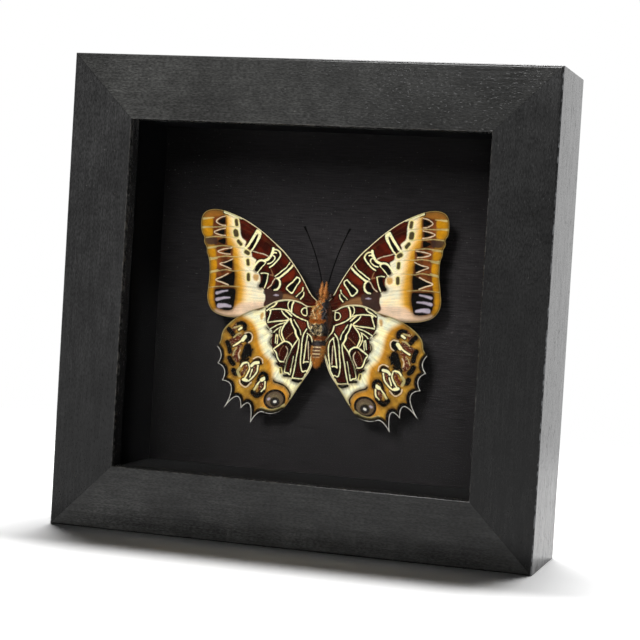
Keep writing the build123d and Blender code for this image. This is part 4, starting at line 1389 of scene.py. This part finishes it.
def place_wing(kind, side, turn, lift, depth, node, material):
    """The wing of one kind on the left (-1) or the right (1) side, in place of its CAD node."""
    settings = butterfly_settings()
    relief = wing_relief(kind, settings)
    u = side * (kind.flat[:, 0] * cos(turn) - kind.flat[:, 1] * sin(turn)) * MM
    v = (kind.flat[:, 0] * sin(turn) + kind.flat[:, 1] * cos(turn) + lift) * MM
    middle = corners_of("backing_card")[2].z + settings.up
    x = settings.right + u * cos(settings.tilt) - v * sin(settings.tilt)
    z = middle + u * sin(settings.tilt) + v * cos(settings.tilt)
    y = depth - relief * MM
    name = f"{node}_scales"
    faces = kind.faces if side > 0 else [face[::-1] for face in kind.faces]
    mesh = bpy.data.meshes.new(name)
    mesh.from_pydata(np.stack([x, y, z], axis=1).tolist(), [], faces)
    for layer, values in kind.layers.items():
        mesh.attributes.new(layer, "FLOAT", "POINT").data.foreach_set("value", values.astype(np.float32))
    mesh.shade_smooth()
    made = scratch_object(mesh)
    wall = made.modifiers.new("membrane", "SOLIDIFY")
    wall.thickness = settings.membrane
    wall.offset = -1.0
    return add_piece(name, evaluated_mesh(made, name), CASE, (node,), material)


# --- wings: colour ---------------------------------------------------------------------
# Colours that both kinds of wing share.
MARGIN_BROWN = srgb(92, 72, 32)
SMOKE = srgb(70, 40, 16)
TAN = srgb(150, 108, 74)
HALO = srgb(20, 10, 6)
WARM_CREAM = srgb(244, 228, 168)
DASH_RIM = srgb(244, 226, 140)
DASH = srgb(48, 32, 20)
VEIN_OLIVE = srgb(206, 190, 128)
PALE_LINE = srgb(228, 206, 172)
LILAC = srgb(190, 176, 190)
VEIN_BROWN = srgb(92, 60, 34)
EDGE_BROWN = srgb(52, 34, 18)
OUTER_TRIM = srgb(190, 170, 104)
INNER_TRIM = srgb(250, 234, 190)
FRINGE = srgb(236, 230, 220)
GOLD = srgb(196, 134, 18)
# Colours of the forewing.
BRIGHT_AMBER = srgb(212, 146, 34)
FOREWING_GLOW = srgb(240, 180, 62)
WARM_RUST = srgb(128, 68, 30)
APEX = srgb(146, 92, 32)
DEEP_GOLD = srgb(184, 124, 12)
FOREWING_LIGHT = srgb(255, 246, 216), srgb(249, 224, 176)
BLUSH = srgb(232, 196, 168)
RED_MAROON = srgb(80, 20, 6)
BRICK = srgb(106, 30, 10)
FOREWING_TAN = srgb(134, 96, 60)
CLOUD = srgb(62, 44, 38)
# Colours of the hindwing.
PALE_OCHRE = srgb(196, 146, 50)
HINDWING_GLOW = srgb(238, 178, 58)
HINDWING_LIGHT = srgb(255, 253, 224), srgb(254, 242, 188)
SPECKLED_RED = srgb(104, 38, 20), srgb(74, 24, 14)
SPECKLE = srgb(222, 204, 158)
HINDWING_TAN = srgb(128, 90, 54)
EYE_HALO = srgb(212, 148, 56)
EYE_DISC = srgb(122, 108, 82), srgb(96, 78, 60)
EYE_RING = srgb(24, 18, 16)
SCALE_RELIEF = 0.00003


class Brush:
    """Lays one drawn layer after another over a colour. A layer's distance cuts its mask."""

    def __init__(self, graph):
        self.graph = graph
        self.colour = None
        self.scales = graph.mottle(0.16, detail=2.0)
        self.clouds = graph.mottle(3.2)
        spread = graph.mottle(0.9, detail=2.0) - 0.5
        self.wobble = spread * 0.30 + (self.scales - 0.5) * 0.14

    def mask(self, layer, soft=0.12, shift=0.0):
        """1 where the layer is drawn, 0 outside it, over an edge this soft in mm."""
        return (self.graph.attribute(layer) + self.wobble).ramp(shift + soft, shift - soft)

    def over(self, share, colour):
        """Lay a colour over this share of what is there."""
        self.colour = self.graph.mix(share, self.colour, colour)

    def lay(self, layer, colour, strength=1.0, soft=0.12, shift=0.0):
        """Lay a colour where a layer is drawn."""
        self.over(self.mask(layer, soft, shift) * strength, colour)

    def shade(self, factor):
        self.colour = self.graph.shade(self.colour, factor)

    def clouded(self, first, second):
        """Colour that goes from first to second with the clouds."""
        return self.graph.drift(self.clouds, first, second)


def wing_rays(graph):
    """Noise in rays that fan out from the shoulder."""
    spokes = graph.add(
        "ShaderNodeCombineXYZ", {}, {0: graph.attribute("fan") * 42.0, 1: graph.attribute("reach") * 0.12}
    )
    return graph.noise(spokes)


def lay_pattern(brush):
    """Lay the lines and spots that both kinds of wing have, over their ground."""
    settings = butterfly_settings()
    graph = brush.graph
    ink = tuple(settings.ink)
    outside = 1 - brush.mask("basal")
    bare = brush.mask("band", 0.3) * (1 - brush.mask("basal", 0.3))
    brush.over(graph.attribute("edge").ramp(1.8, 0.3) * outside * 0.45, MARGIN_BROWN)
    brush.over(brush.mask("ink", 0.6, 0.55) * outside * 0.7, SMOKE)
    brush.lay("tan", TAN, 0.8)
    brush.over(brush.mask("cream", 0.16, 0.38) * (1 - bare) * 0.9, HALO)
    brush.lay("cream", graph.mix(brush.clouds.ramp(0.35, 0.75), tuple(settings.cream), WARM_CREAM))
    brush.lay("dusk", DASH_RIM, 0.8, soft=0.2, shift=0.4)
    brush.lay("dusk", DASH, 0.95, soft=0.2, shift=0.12)
    brush.lay("ink", ink, soft=0.14)
    brush.lay("olive", VEIN_OLIVE, 0.7, soft=0.16)
    brush.lay("pale", PALE_LINE, 0.85, soft=0.1)
    brush.lay("lilac", LILAC, 0.85, soft=0.25)
    brush.over(graph.attribute("vein").ramp(0.22, 0.06) * 0.22, VEIN_BROWN)
    brush.shade(brush.scales.ramp(0.25, 0.75, 0.9, 1.12) * brush.clouds.vary(0.12))
    edge = graph.attribute("edge") + brush.wobble
    brush.over(edge.ramp(0.6, 0.34) * 0.5, EDGE_BROWN)
    trim = graph.mix(brush.mask("basal", 0.5), OUTER_TRIM, INNER_TRIM)
    brush.over(edge.ramp(0.30, 0.16) * (brush.mask("basal", 0.8, 1.0) * 0.45 + 0.35), trim)
    brush.lay("fringe", ink, 0.94, soft=0.35, shift=1.05)
    brush.lay("fringe", FRINGE, 0.92, soft=0.1)


def wing_material(name, lay_ground):
    """Coloured scales: a ground, rays over it and the drawn pattern."""
    material, graph, feed = new_material(name, specular_ior_level=0.05)
    brush = Brush(graph)
    lay_ground(brush)
    brush.shade(wing_rays(graph).ramp(*NOISE_SPAN, 0.88, 1.1))
    lay_pattern(brush)
    feed("Base Color", brush.colour)
    feed("Roughness", brush.scales.ramp(*NOISE_SPAN, 0.58, 0.78))
    feed("Normal", graph.bump(brush.scales, SCALE_RELIEF, 0.4))
    return material


def forewing_ground(brush):
    """Lay the ground of the forewing, from the margin in to the body."""
    settings = butterfly_settings()
    graph, clouds = brush.graph, brush.clouds
    band = graph.attribute("band")
    brush.colour = brush.clouded(tint(settings.ochre, 0.82), tuple(settings.ochre))
    brush.over(band.ramp(4.2, 0.4), brush.clouded(BRIGHT_AMBER, tuple(settings.amber)))
    brush.over(band.ramp(2.4, -0.2) * 0.85, FOREWING_GLOW)
    warm = graph.mix(clouds.ramp(0.35, 0.65), tuple(settings.rust), WARM_RUST)
    brush.lay("rust", warm, soft=0.45)
    brush.lay("apex", APEX, soft=0.5)
    brush.lay("gold", DEEP_GOLD, soft=0.35)
    brush.over(band.ramp(1.3, -1.7), brush.clouded(*FOREWING_LIGHT))
    brush.lay("blush", BLUSH, 0.85, soft=0.8)
    maroon = graph.mix(clouds.ramp(0.35, 0.68), tint(settings.maroon, 0.8), RED_MAROON)
    brush.lay("basal", maroon, soft=0.25)
    brush.over(brush.mask("basal", 0.2) * brush.mask("rust", 0.4) * 0.8, BRICK)
    brush.lay("gold", GOLD, 0.8, soft=0.35)
    brush.lay("tanned", FOREWING_TAN, 0.9, soft=0.5)
    brush.lay("cloud", CLOUD, 0.92, soft=0.3)


def hindwing_ground(brush):
    """Lay the ground of the hindwing, with its eye spot."""
    settings = butterfly_settings()
    graph, clouds = brush.graph, brush.clouds
    band = graph.attribute("band")
    brush.colour = brush.clouded(tuple(settings.ochre), PALE_OCHRE)
    brush.over(band.ramp(3.4, 0.5), tuple(settings.amber))
    brush.over(band.ramp(1.1, -0.3) * 0.8, HINDWING_GLOW)
    brush.over(band.ramp(1.0, -1.2), brush.clouded(*HINDWING_LIGHT))
    maroon = graph.mix(clouds.ramp(0.35, 0.68), tint(settings.maroon, 0.75), tuple(settings.maroon))
    brush.lay("basal", maroon, soft=0.2)
    specks = graph.mottle(0.42, detail=2.0).ramp(0.55, 0.66)
    red = graph.mix(clouds.ramp(0.35, 0.65), *SPECKLED_RED)
    speckled = graph.mix(specks * 0.8 * (1 - brush.mask("basal")), red, SPECKLE)
    brush.lay("rust", speckled, soft=0.3)
    brush.lay("gold", GOLD, 0.8, soft=0.35)
    brush.lay("tanned", HINDWING_TAN, soft=0.5)
    lay_eye(brush)


def lay_eye(brush):
    """Lay the eye spot: a black ring round a grey-olive disc, in a bright halo."""
    eye = brush.graph.attribute("eye")
    ring = EYE["ring"]
    brush.over(eye.ramp(1.9, 0.2) * 0.7, EYE_HALO)
    brush.over(eye.ramp(0.12, -0.12), EYE_RING)
    disc = brush.graph.mix(eye.ramp(-3.0, -ring), *EYE_DISC)
    brush.over(eye.ramp(-ring + 0.15, -ring - 0.25), disc)


class BUTTERFLY_OT_wings(bpy.types.Operator):
    """Make the four wings with their drawn pattern"""

    bl_idname = "display_case.wings"
    bl_label = "Wings"

    def execute(self, context):
        step = butterfly_settings().mesh_step
        kinds = {
            "forewing": WingKind(
                forewing_outline(), draw_forewing, FOREWING_VEINS, SHOULDERS["forewing"], step
            ),
            "hindwing": WingKind(
                hindwing_outline(), draw_hindwing, HINDWING_VEINS, SHOULDERS["hindwing"], step
            ),
        }
        finishes = {
            "forewing": wing_material("scales_forewing", forewing_ground),
            "hindwing": wing_material("scales_hindwing", hindwing_ground),
        }
        for side_name, (side, sets) in WING_SETS.items():
            for part, (turn, lift) in sets.items():
                node = f"{part}_{side_name}"
                depth = corners_of(node)[0].y + SET_BACK[part]
                place_wing(kinds[part], side, turn, lift, depth, node, finishes[part])
        return {"FINISHED"}


# --- body ------------------------------------------------------------------------------
# Colours of the hairs. A pair is blended by a noise.
ORANGE_HAIR = srgb(178, 96, 22), srgb(222, 164, 80)
CREAM_HAIR = srgb(206, 168, 104), srgb(244, 228, 190)
# The black hair's second, grey colour is painted glints.
BLACK_HAIR_AND_PAINTED_GLINTS = srgb(22, 19, 21), srgb(88, 82, 84)
BELT_HAIR = srgb(150, 70, 10), srgb(226, 132, 30)
HEAD_HAIR = srgb(176, 84, 20), srgb(228, 168, 92)
RING_HAIR = srgb(112, 66, 32), srgb(236, 212, 166)
SIDE_HAIR = srgb(112, 58, 20)
UNDER_BELT = srgb(34, 27, 24)
HIP_HAIR = srgb(150, 78, 24)
WAIST_HAIR = srgb(42, 32, 32)
TAIL_HAIR = srgb(186, 112, 28)
TAIL_SHADE = srgb(76, 44, 22)
# Colours of the eyes, the antennae and the post.
EYE_BROWN = srgb(46, 26, 18)
HORN_BLACK = srgb(5, 4, 4)
POST_BLACK = srgb(22, 22, 22)
# Heights on the body in the wing frame, in mm.
NECK = -0.9
BELT = -7.4
HIP = -12.7
WAIST = -13.3
ABDOMEN = -14.8
TAIL = -17.4
SKIN_LUMPS = {"per_metre": 1600.0, "height": 0.00035}
HAIR_RELIEF = 0.00008
HAIR_SPREAD = 0.4
HAIR_LIFT = 0.62
# Each hair's radius and lean at three shares of its length.
HAIR_ROWS = ((0.0, 0.055, 0.0), (0.55, 0.04, 0.05), (1.0, 0.006, 0.22))
# Furred nodes: voxel, shares of the settings' hair length and count, and the way it is combed.
FUR = {
    "thorax": (0.00016, 1.0, 1.0, (-0.1, -0.1, -0.75)),
    "abdomen": (0.00013, 0.55, 1.3, (0.0, 0.0, -0.9)),
    "head": (0.00012, 0.6, 1.4, (0.0, -0.1, 0.6)),
    "palps": (0.00010, 0.5, 1.6, (0.0, 0.0, 1.3)),
}
PER_SQUARE_METRE = 1e4  # square centimetres in a square metre


def wing_axes(graph):
    """Object coordinates turned into the wing frame: u outwards to the right and v up, in mm."""
    settings = butterfly_settings()
    middle = corners_of("backing_card")[2].z + settings.up
    x, _, z = graph.axes(graph.place())
    x = x - settings.right / MM
    z = z - middle / MM
    u = x * cos(settings.tilt) + z * sin(settings.tilt)
    v = z * cos(settings.tilt) - x * sin(settings.tilt)
    return u, v


def thorax_colour(graph, u, v, tufts, fine):
    """Orange and cream hair on the left, blue-black on the right with painted grey glints, and a belt with
    tufts under it.
    """
    across = u - (v + 6.6) * 0.103 - 0.75 + (tufts - 0.5) * 3.4
    pale = graph.mix(fine.ramp(0.4, 0.65), *CREAM_HAIR)
    warm = graph.mix(tufts.ramp(0.50, 0.58), graph.mix(tufts.ramp(0.35, 0.62), *ORANGE_HAIR), pale)
    # Blue-black hair flecked with painted grey glints.
    dark = graph.mix(fine.ramp(0.45, 0.7), *BLACK_HAIR_AND_PAINTED_GLINTS)
    colour = graph.mix(across.ramp(-0.1, 0.6), warm, dark)
    colour = graph.mix((u + fine * 0.8).ramp(3.0, 3.7) * 0.8, colour, SIDE_HAIR)
    belt = abs(v - BELT + (fine - 0.5) * 0.8).ramp(0.75, 0.45) * across.ramp(1.9, 1.2)
    colour = graph.mix(belt, colour, graph.mix(fine, *BELT_HAIR))
    mottled = graph.mix(tufts.ramp(0.47, 0.53), UNDER_BELT, pale)
    return graph.mix(v.ramp(BELT - 0.6, BELT - 1.2) * across.ramp(1.7, 0.9), colour, mottled)


def tail_colour(graph, u, v, tufts, fine):
    """Ringed abdomen with orange sides and a golden tip."""
    rings = graph.add("ShaderNodeMath", {"operation": "SINE"}, {0: v * 6.0 + fine * 0.7})
    colour = graph.mix(rings.ramp(0.1, 0.7), *RING_HAIR)
    orange = graph.mix(tufts.ramp(0.35, 0.62), *ORANGE_HAIR)
    colour = graph.mix(abs(u + 0.75 - (v + 19.0) * 0.1).ramp(0.9, 1.6), colour, orange)
    colour = graph.mix((v + tufts * 1.5).ramp(TAIL, TAIL - 1), colour, TAIL_HAIR)
    return graph.mix(tufts.ramp(0.54, 0.66) * 0.7, colour, TAIL_SHADE)


def body_material(name, rough, tips):
    """Hairy body from the head down to the tail. Tips is how much single hairs vary."""
    material, graph, feed = new_material(name, specular_ior_level=0.4)
    u, v = wing_axes(graph)
    tufts = graph.mottle(0.75)
    fine = graph.mottle((0.16, 0.16, 0.3), detail=2.0)
    colour = thorax_colour(graph, u, v, tufts, fine)
    hip = abs(v - HIP + (fine - 0.5) * 0.8).ramp(0.9, 0.5)
    colour = graph.mix(hip, colour, HIP_HAIR)
    colour = graph.mix(v.ramp(WAIST, WAIST - 0.5), colour, WAIST_HAIR)
    tail = tail_colour(graph, u, v, tufts, fine)
    colour = graph.mix(v.ramp(ABDOMEN, ABDOMEN - 0.5), colour, tail)
    head = graph.mix(fine.ramp(0.4, 0.62), *HEAD_HAIR)
    colour = graph.mix(v.ramp(NECK, NECK + 0.7), colour, head)
    feed("Base Color", graph.shade(colour, fine.ramp(0.25, 0.75, 1 - tips, 1 + tips)))
    feed("Roughness", fine.ramp(*NOISE_SPAN, rough - 0.1, rough + 0.1))
    feed("Normal", graph.bump(fine, HAIR_RELIEF, 0.6))
    return material


def hair_mesh():
    """One tapering, slightly bent hair along Z, 1 m long. It is scaled down where it is set."""
    shape = bmesh.new()
    sides = 3
    rings = [
        [
            shape.verts.new((lean + r * cos(2 * pi * k / sides), r * sin(2 * pi * k / sides), height))
            for k in range(sides)
        ]
        for height, r, lean in HAIR_ROWS
    ]
    for low, high in zip(rings, rings[1:]):
        for k in range(sides):
            shape.faces.new((low[k], low[(k + 1) % sides], high[(k + 1) % sides], high[k]))
    shape.faces.new(rings[-1])
    shape.faces.new(rings[0][::-1])
    return mesh_of(shape, "hair")


def scaled(graph, vector, amount):
    """The vector made longer or shorter."""
    return graph.add("ShaderNodeVectorMath", {"operation": "SCALE"}, {0: vector, "Scale": amount})


def fur_roots(graph, skin, density):
    """Points spread over the skin, and the direction out of it at each."""
    node = graph.tree.nodes.new("GeometryNodeDistributePointsOnFaces")
    graph.feed(node.inputs["Mesh"], skin)
    graph.feed(node.inputs["Density"], density)
    graph.feed(node.inputs["Seed"], 5)
    return Value(graph, node.outputs["Points"]), Value(graph, node.outputs["Normal"])


def fur_tree(prototype, comb):
    """Geometry Nodes tree that roughens a surface and grows combed hairs on it."""
    tree, graph, names, inputs = open_tree(
        "grow_fur", ("Hair length", "Hairs per square metre", "Roughness height"), ("Skin", "Hair")
    )
    surface, length, density, height, skin_finish, hair_finish = inputs
    lumps = graph.noise(graph.add("GeometryNodeInputPosition"), SKIN_LUMPS["per_metre"], detail=2.0) - 0.5
    push = scaled(graph, graph.add("GeometryNodeInputNormal"), lumps * height)
    skin = graph.add("GeometryNodeSetPosition", {}, {"Geometry": surface, "Offset": push})
    skin = graph.add("GeometryNodeSetMaterial", {}, {"Geometry": skin, "Material": skin_finish})
    roots, upright = fur_roots(graph, skin, density)
    stray = graph.add(
        "FunctionNodeRandomValue", {"data_type": "FLOAT_VECTOR"},
        {0: (-HAIR_SPREAD,) * 3, 1: (HAIR_SPREAD,) * 3, "Seed": 3}, 0,
    )
    lie = scaled(graph, upright, HAIR_LIFT)
    for nudge in (stray, comb):
        lie = graph.add("ShaderNodeVectorMath", {"operation": "ADD"}, {0: lie, 1: nudge})
    turn = graph.add("FunctionNodeAlignRotationToVector", {"axis": "Z"}, {"Vector": lie})
    size = graph.add(
        "FunctionNodeRandomValue", {"data_type": "FLOAT"}, {2: length * 0.55, 3: length * 1.2, "Seed": 4}, 1
    )
    # Hairs are marked, so that they can be told from the skin once both are joined.
    hair = graph.add(
        "GeometryNodeStoreNamedAttribute", {"data_type": "BOOLEAN", "domain": "FACE"},
        {"Geometry": geometry_of(graph, prototype), "Name": "hair", "Value": True},
    )
    hairs = graph.add(
        "GeometryNodeInstanceOnPoints", {},
        {"Points": roots, "Instance": hair, "Rotation": turn, "Scale": size},
    )
    both = tree.nodes.new("GeometryNodeJoinGeometry")
    for piece in (hairs, skin):
        graph.feed(both.inputs[0], piece)
    whole = graph.add("GeometryNodeRealizeInstances", {}, {"Geometry": Value(graph, both.outputs[0])})
    marked = graph.add("GeometryNodeInputNamedAttribute", {"data_type": "BOOLEAN"}, {"Name": "hair"})
    whole = graph.add(
        "GeometryNodeSetMaterial", {}, {"Geometry": whole, "Selection": marked, "Material": hair_finish}
    )
    graph.feed(tree.nodes.new("NodeGroupOutput").inputs[0], whole)
    return tree, names


def furry_piece(node, voxel, comb, values):
    """CAD node's shape made smooth, roughened and grown over with hairs."""
    made = scratch_object(merged_copy(node))
    made.data.materials.clear()
    skinning = made.modifiers.new("even", "REMESH")
    skinning.mode = "VOXEL"
    skinning.voxel_size = voxel
    softening = made.modifiers.new("soften", "SMOOTH")
    softening.iterations = 5
    prototype = scratch_object(hair_mesh())
    run_tree(made, *fur_tree(prototype, comb), values)
    mesh = evaluated_mesh(made, f"{node}_furred")
    bpy.data.objects.remove(prototype)
    add_piece(f"{node}_furred", mesh, CASE, (node,))


class BUTTERFLY_OT_body(bpy.types.Operator):
    """Grow the fur of the thorax, abdomen, head and palps"""

    bl_idname = "display_case.body"
    bl_label = "Body"

    def execute(self, context):
        settings = butterfly_settings()
        values = {
            "Roughness height": SKIN_LUMPS["height"],
            "Skin": body_material("body_skin", 0.55, 0.15),
            "Hair": body_material("body_hair", 0.5, 0.35),
        }
        for node, (voxel, length, density, comb) in FUR.items():
            values["Hair length"] = settings.hair_length * length
            values["Hairs per square metre"] = settings.hair_count * PER_SQUARE_METRE * density
            furry_piece(node, voxel, comb, values)
        return {"FINISHED"}


class BUTTERFLY_OT_limbs(bpy.types.Operator):
    """Finish the legs, eyes and antennae, and the post that carries the butterfly"""

    bl_idname = "display_case.limbs"
    bl_label = "Legs, eyes and antennae"

    def execute(self, context):
        dress(body_material("leg_skin", 0.55, 0.15), "legs")
        dress(plain_material("eye_brown", EYE_BROWN, 0.2, 0.2, 0.2), "eyes")
        horn = plain_material("horn_black", HORN_BLACK, 0.85, 0.2, 0.2, specular_ior_level=0.1)
        dress(horn, "antenna_left", "antenna_right")
        dress(plain_material("post_black", POST_BLACK, 0.6, 0.6), "specimen_post")
        return {"FINISHED"}


# --- studio ----------------------------------------------------------------------------
# Lamps: direction from the case, distance, width and depth.
FRONT_LAMP = (-0.13, -0.89, 0.43), 1.1, 0.30, 0.30
TOP_LAMP = (-0.03, 0.23, 0.97), 1.2, 0.55, 0.20
TABLE_HALF = 3.0  # half of its side
TABLE_FADE = 190.0, 420.0  # mm from the middle of the case
TABLE_WHITE = (0.80, 0.80, 0.80)
WHITE = (1.0, 1.0, 1.0)
# The camera's sensor in mm and its image in pixels.
SENSOR_WIDTH = 36.0
IMAGE_WIDTH = 640


def aim(place, target):
    """Matrix of a lamp at one place that shines at another."""
    turn = (Vector(target) - Vector(place)).to_track_quat("-Z", "Y")
    return Matrix.Translation(place) @ turn.to_matrix().to_4x4()


def add_lamp(name, direction, distance, width, depth, power):
    """Soft box that shines at the middle of the case from a direction."""
    middle = Vector((0, 0, CAD_BOX[1][2] / 2))
    data = bpy.data.lights.new(name, "AREA")
    data.shape = "RECTANGLE"
    data.size = width
    data.size_y = depth
    data.energy = power
    lamp = bpy.data.objects.new(name, data)
    lamp.matrix_world = aim(middle + Vector(direction).normalized() * distance, middle)
    bpy.context.scene.collection.objects.link(lamp)
    return lamp


def keep_off(lamp, table):
    """Flag a lamp off the table, so that it doesn't fill the shadow there."""
    flag = bpy.data.collections.new(f"{lamp.name}_flag")
    flag.objects.link(table)
    flag.collection_objects[0].light_linking.link_state = "EXCLUDE"
    lamp.light_linking.receiver_collection = flag


def add_camera():
    """Camera at its place in the settings, turned by yaw, pitch and roll."""
    settings = studio_settings()
    yaw, pitch, roll = settings.camera_yaw, settings.camera_pitch, settings.camera_roll
    data = bpy.data.cameras.new("camera")
    data.sensor_width = SENSOR_WIDTH
    data.lens = settings.focal_pixels / IMAGE_WIDTH * SENSOR_WIDTH
    data.clip_start = 0.01
    camera = bpy.data.objects.new("camera", data)
    ahead = Vector((-sin(yaw) * cos(pitch), cos(yaw) * cos(pitch), -sin(pitch)))
    level = Vector((cos(yaw), sin(yaw), 0))
    upright = level.cross(ahead)
    right = cos(roll) * level + sin(roll) * upright
    up = cos(roll) * upright - sin(roll) * level
    turn = Matrix((right, up, -ahead)).transposed().to_4x4()
    camera.matrix_world = Matrix.Translation(settings.camera_place) @ turn
    bpy.context.scene.collection.objects.link(camera)
    bpy.context.scene.camera = camera


def any_ray(graph, *kinds):
    """1 for rays of any of these kinds, 0 for all others."""
    path = graph.tree.nodes.new("ShaderNodeLightPath")
    first, *rest = (Value(graph, path.outputs[f"Is {kind} Ray"]) for kind in kinds)
    for ray in rest:
        first = first.most(ray)
    return first


def floor_material():
    """White table top that fades into the white background some way from the case."""
    material, graph = bare_material("table_pale")
    place = graph.place()
    away = graph.add("ShaderNodeVectorMath", {"operation": "LENGTH"}, {0: place}, "Value")
    paper = graph.noise(place, 0.16, detail=2.0).ramp(0.2, 0.8, 0.985, 1.0)
    white = graph.mix(any_ray(graph, "Camera", "Glossy", "Transmission"), TABLE_WHITE, WHITE)
    tone = graph.shade(white, paper * (1 + any_ray(graph, "Camera") * 0.28))
    near = graph.add("ShaderNodeBsdfDiffuse", {}, {"Color": tone})
    far = graph.add("ShaderNodeEmission", {}, {"Color": WHITE})
    both = graph.add("ShaderNodeMixShader", {}, {"Fac": away.ramp(*TABLE_FADE), 1: near, 2: far})
    graph.add("ShaderNodeOutputMaterial", {}, {"Surface": both})
    return material


def add_world():
    """White for the camera, which gloss and glass see behind the case. The room in front is dim."""
    world = bpy.data.worlds.new("studio")
    bpy.context.scene.world = world
    world.use_nodes = True
    graph = bare_graph(world.node_tree)
    direction = graph.add("ShaderNodeTexCoord", output="Generated")
    depth = graph.axes(direction)[1]
    soft = depth.ramp(0.35, 0.95, 0.003, 0.9)
    sharp = depth.ramp(0.1, 0.75).ramp(0.0, 1.0, 0.06, 1.0)
    room = soft + (sharp - soft) * any_ray(graph, "Glossy", "Transmission")
    straight = any_ray(graph, "Camera")
    strength = straight + (1 - straight) * room
    light = graph.add("ShaderNodeBackground", {}, {"Color": WHITE, "Strength": strength})
    graph.add("ShaderNodeOutputWorld", {}, {"Surface": light})


class STUDIO_OT_stage(bpy.types.Operator):
    """Set up the table, the lights and the camera"""

    bl_idname = "display_case.stage"
    bl_label = "Studio"

    def execute(self, context):
        settings = studio_settings()
        shape = bmesh.new()
        bmesh.ops.create_grid(shape, x_segments=8, y_segments=8, size=TABLE_HALF)
        mesh = mesh_of(shape, "table")
        mesh.materials.append(floor_material())
        table = bpy.data.objects.new("table", mesh)
        context.scene.collection.objects.link(table)
        keep_off(add_lamp("front_lamp", *FRONT_LAMP, settings.key_power), table)
        add_lamp("top_lamp", *TOP_LAMP, settings.top_power)
        add_world()
        add_camera()
        context.scene.view_settings.view_transform = "Standard"
        return {"FINISHED"}


# --- add-on ----------------------------------------------------------------------------
OPERATORS = (
    STUDIO_OT_stage,
    CASE_OT_mouldings,
    CASE_OT_glass,
    CASE_OT_chamber,
    CASE_OT_boards,
    CASE_OT_turn_buttons,
    CASE_OT_hanger,
    CASE_OT_bumpers,
    BUTTERFLY_OT_wings,
    BUTTERFLY_OT_body,
    BUTTERFLY_OT_limbs,
)


class CASE_PT_panel(bpy.types.Panel):
    """Lists the steps that finish the display case"""

    bl_label = "Display Case"
    bl_idname = "CASE_PT_panel"
    bl_space_type = "VIEW_3D"
    bl_region_type = "UI"
    bl_category = "Display Case"

    def draw(self, context):
        for operator in OPERATORS:
            self.layout.operator(operator.bl_idname)
        for settings in (case_settings(), butterfly_settings(), studio_settings()):
            column = self.layout.column()
            for name in settings.bl_rna.properties.keys():
                if name not in ("rna_type", "name"):
                    column.prop(settings, name)


CLASSES = (CaseSettings, ButterflySettings, StudioSettings, *OPERATORS, CASE_PT_panel)


def register():
    for item in CLASSES:
        bpy.utils.register_class(item)
    bpy.types.Scene.display_case = PointerProperty(type=CaseSettings)
    bpy.types.Scene.display_butterfly = PointerProperty(type=ButterflySettings)
    bpy.types.Scene.display_studio = PointerProperty(type=StudioSettings)


def unregister():
    del bpy.types.Scene.display_studio
    del bpy.types.Scene.display_butterfly
    del bpy.types.Scene.display_case
    for item in reversed(CLASSES):
        bpy.utils.unregister_class(item)


def main():
    register()
    for operator in OPERATORS:
        category, name = operator.bl_idname.split(".")
        getattr(getattr(bpy.ops, category), name)()


if __name__ == "__main__":
    main()
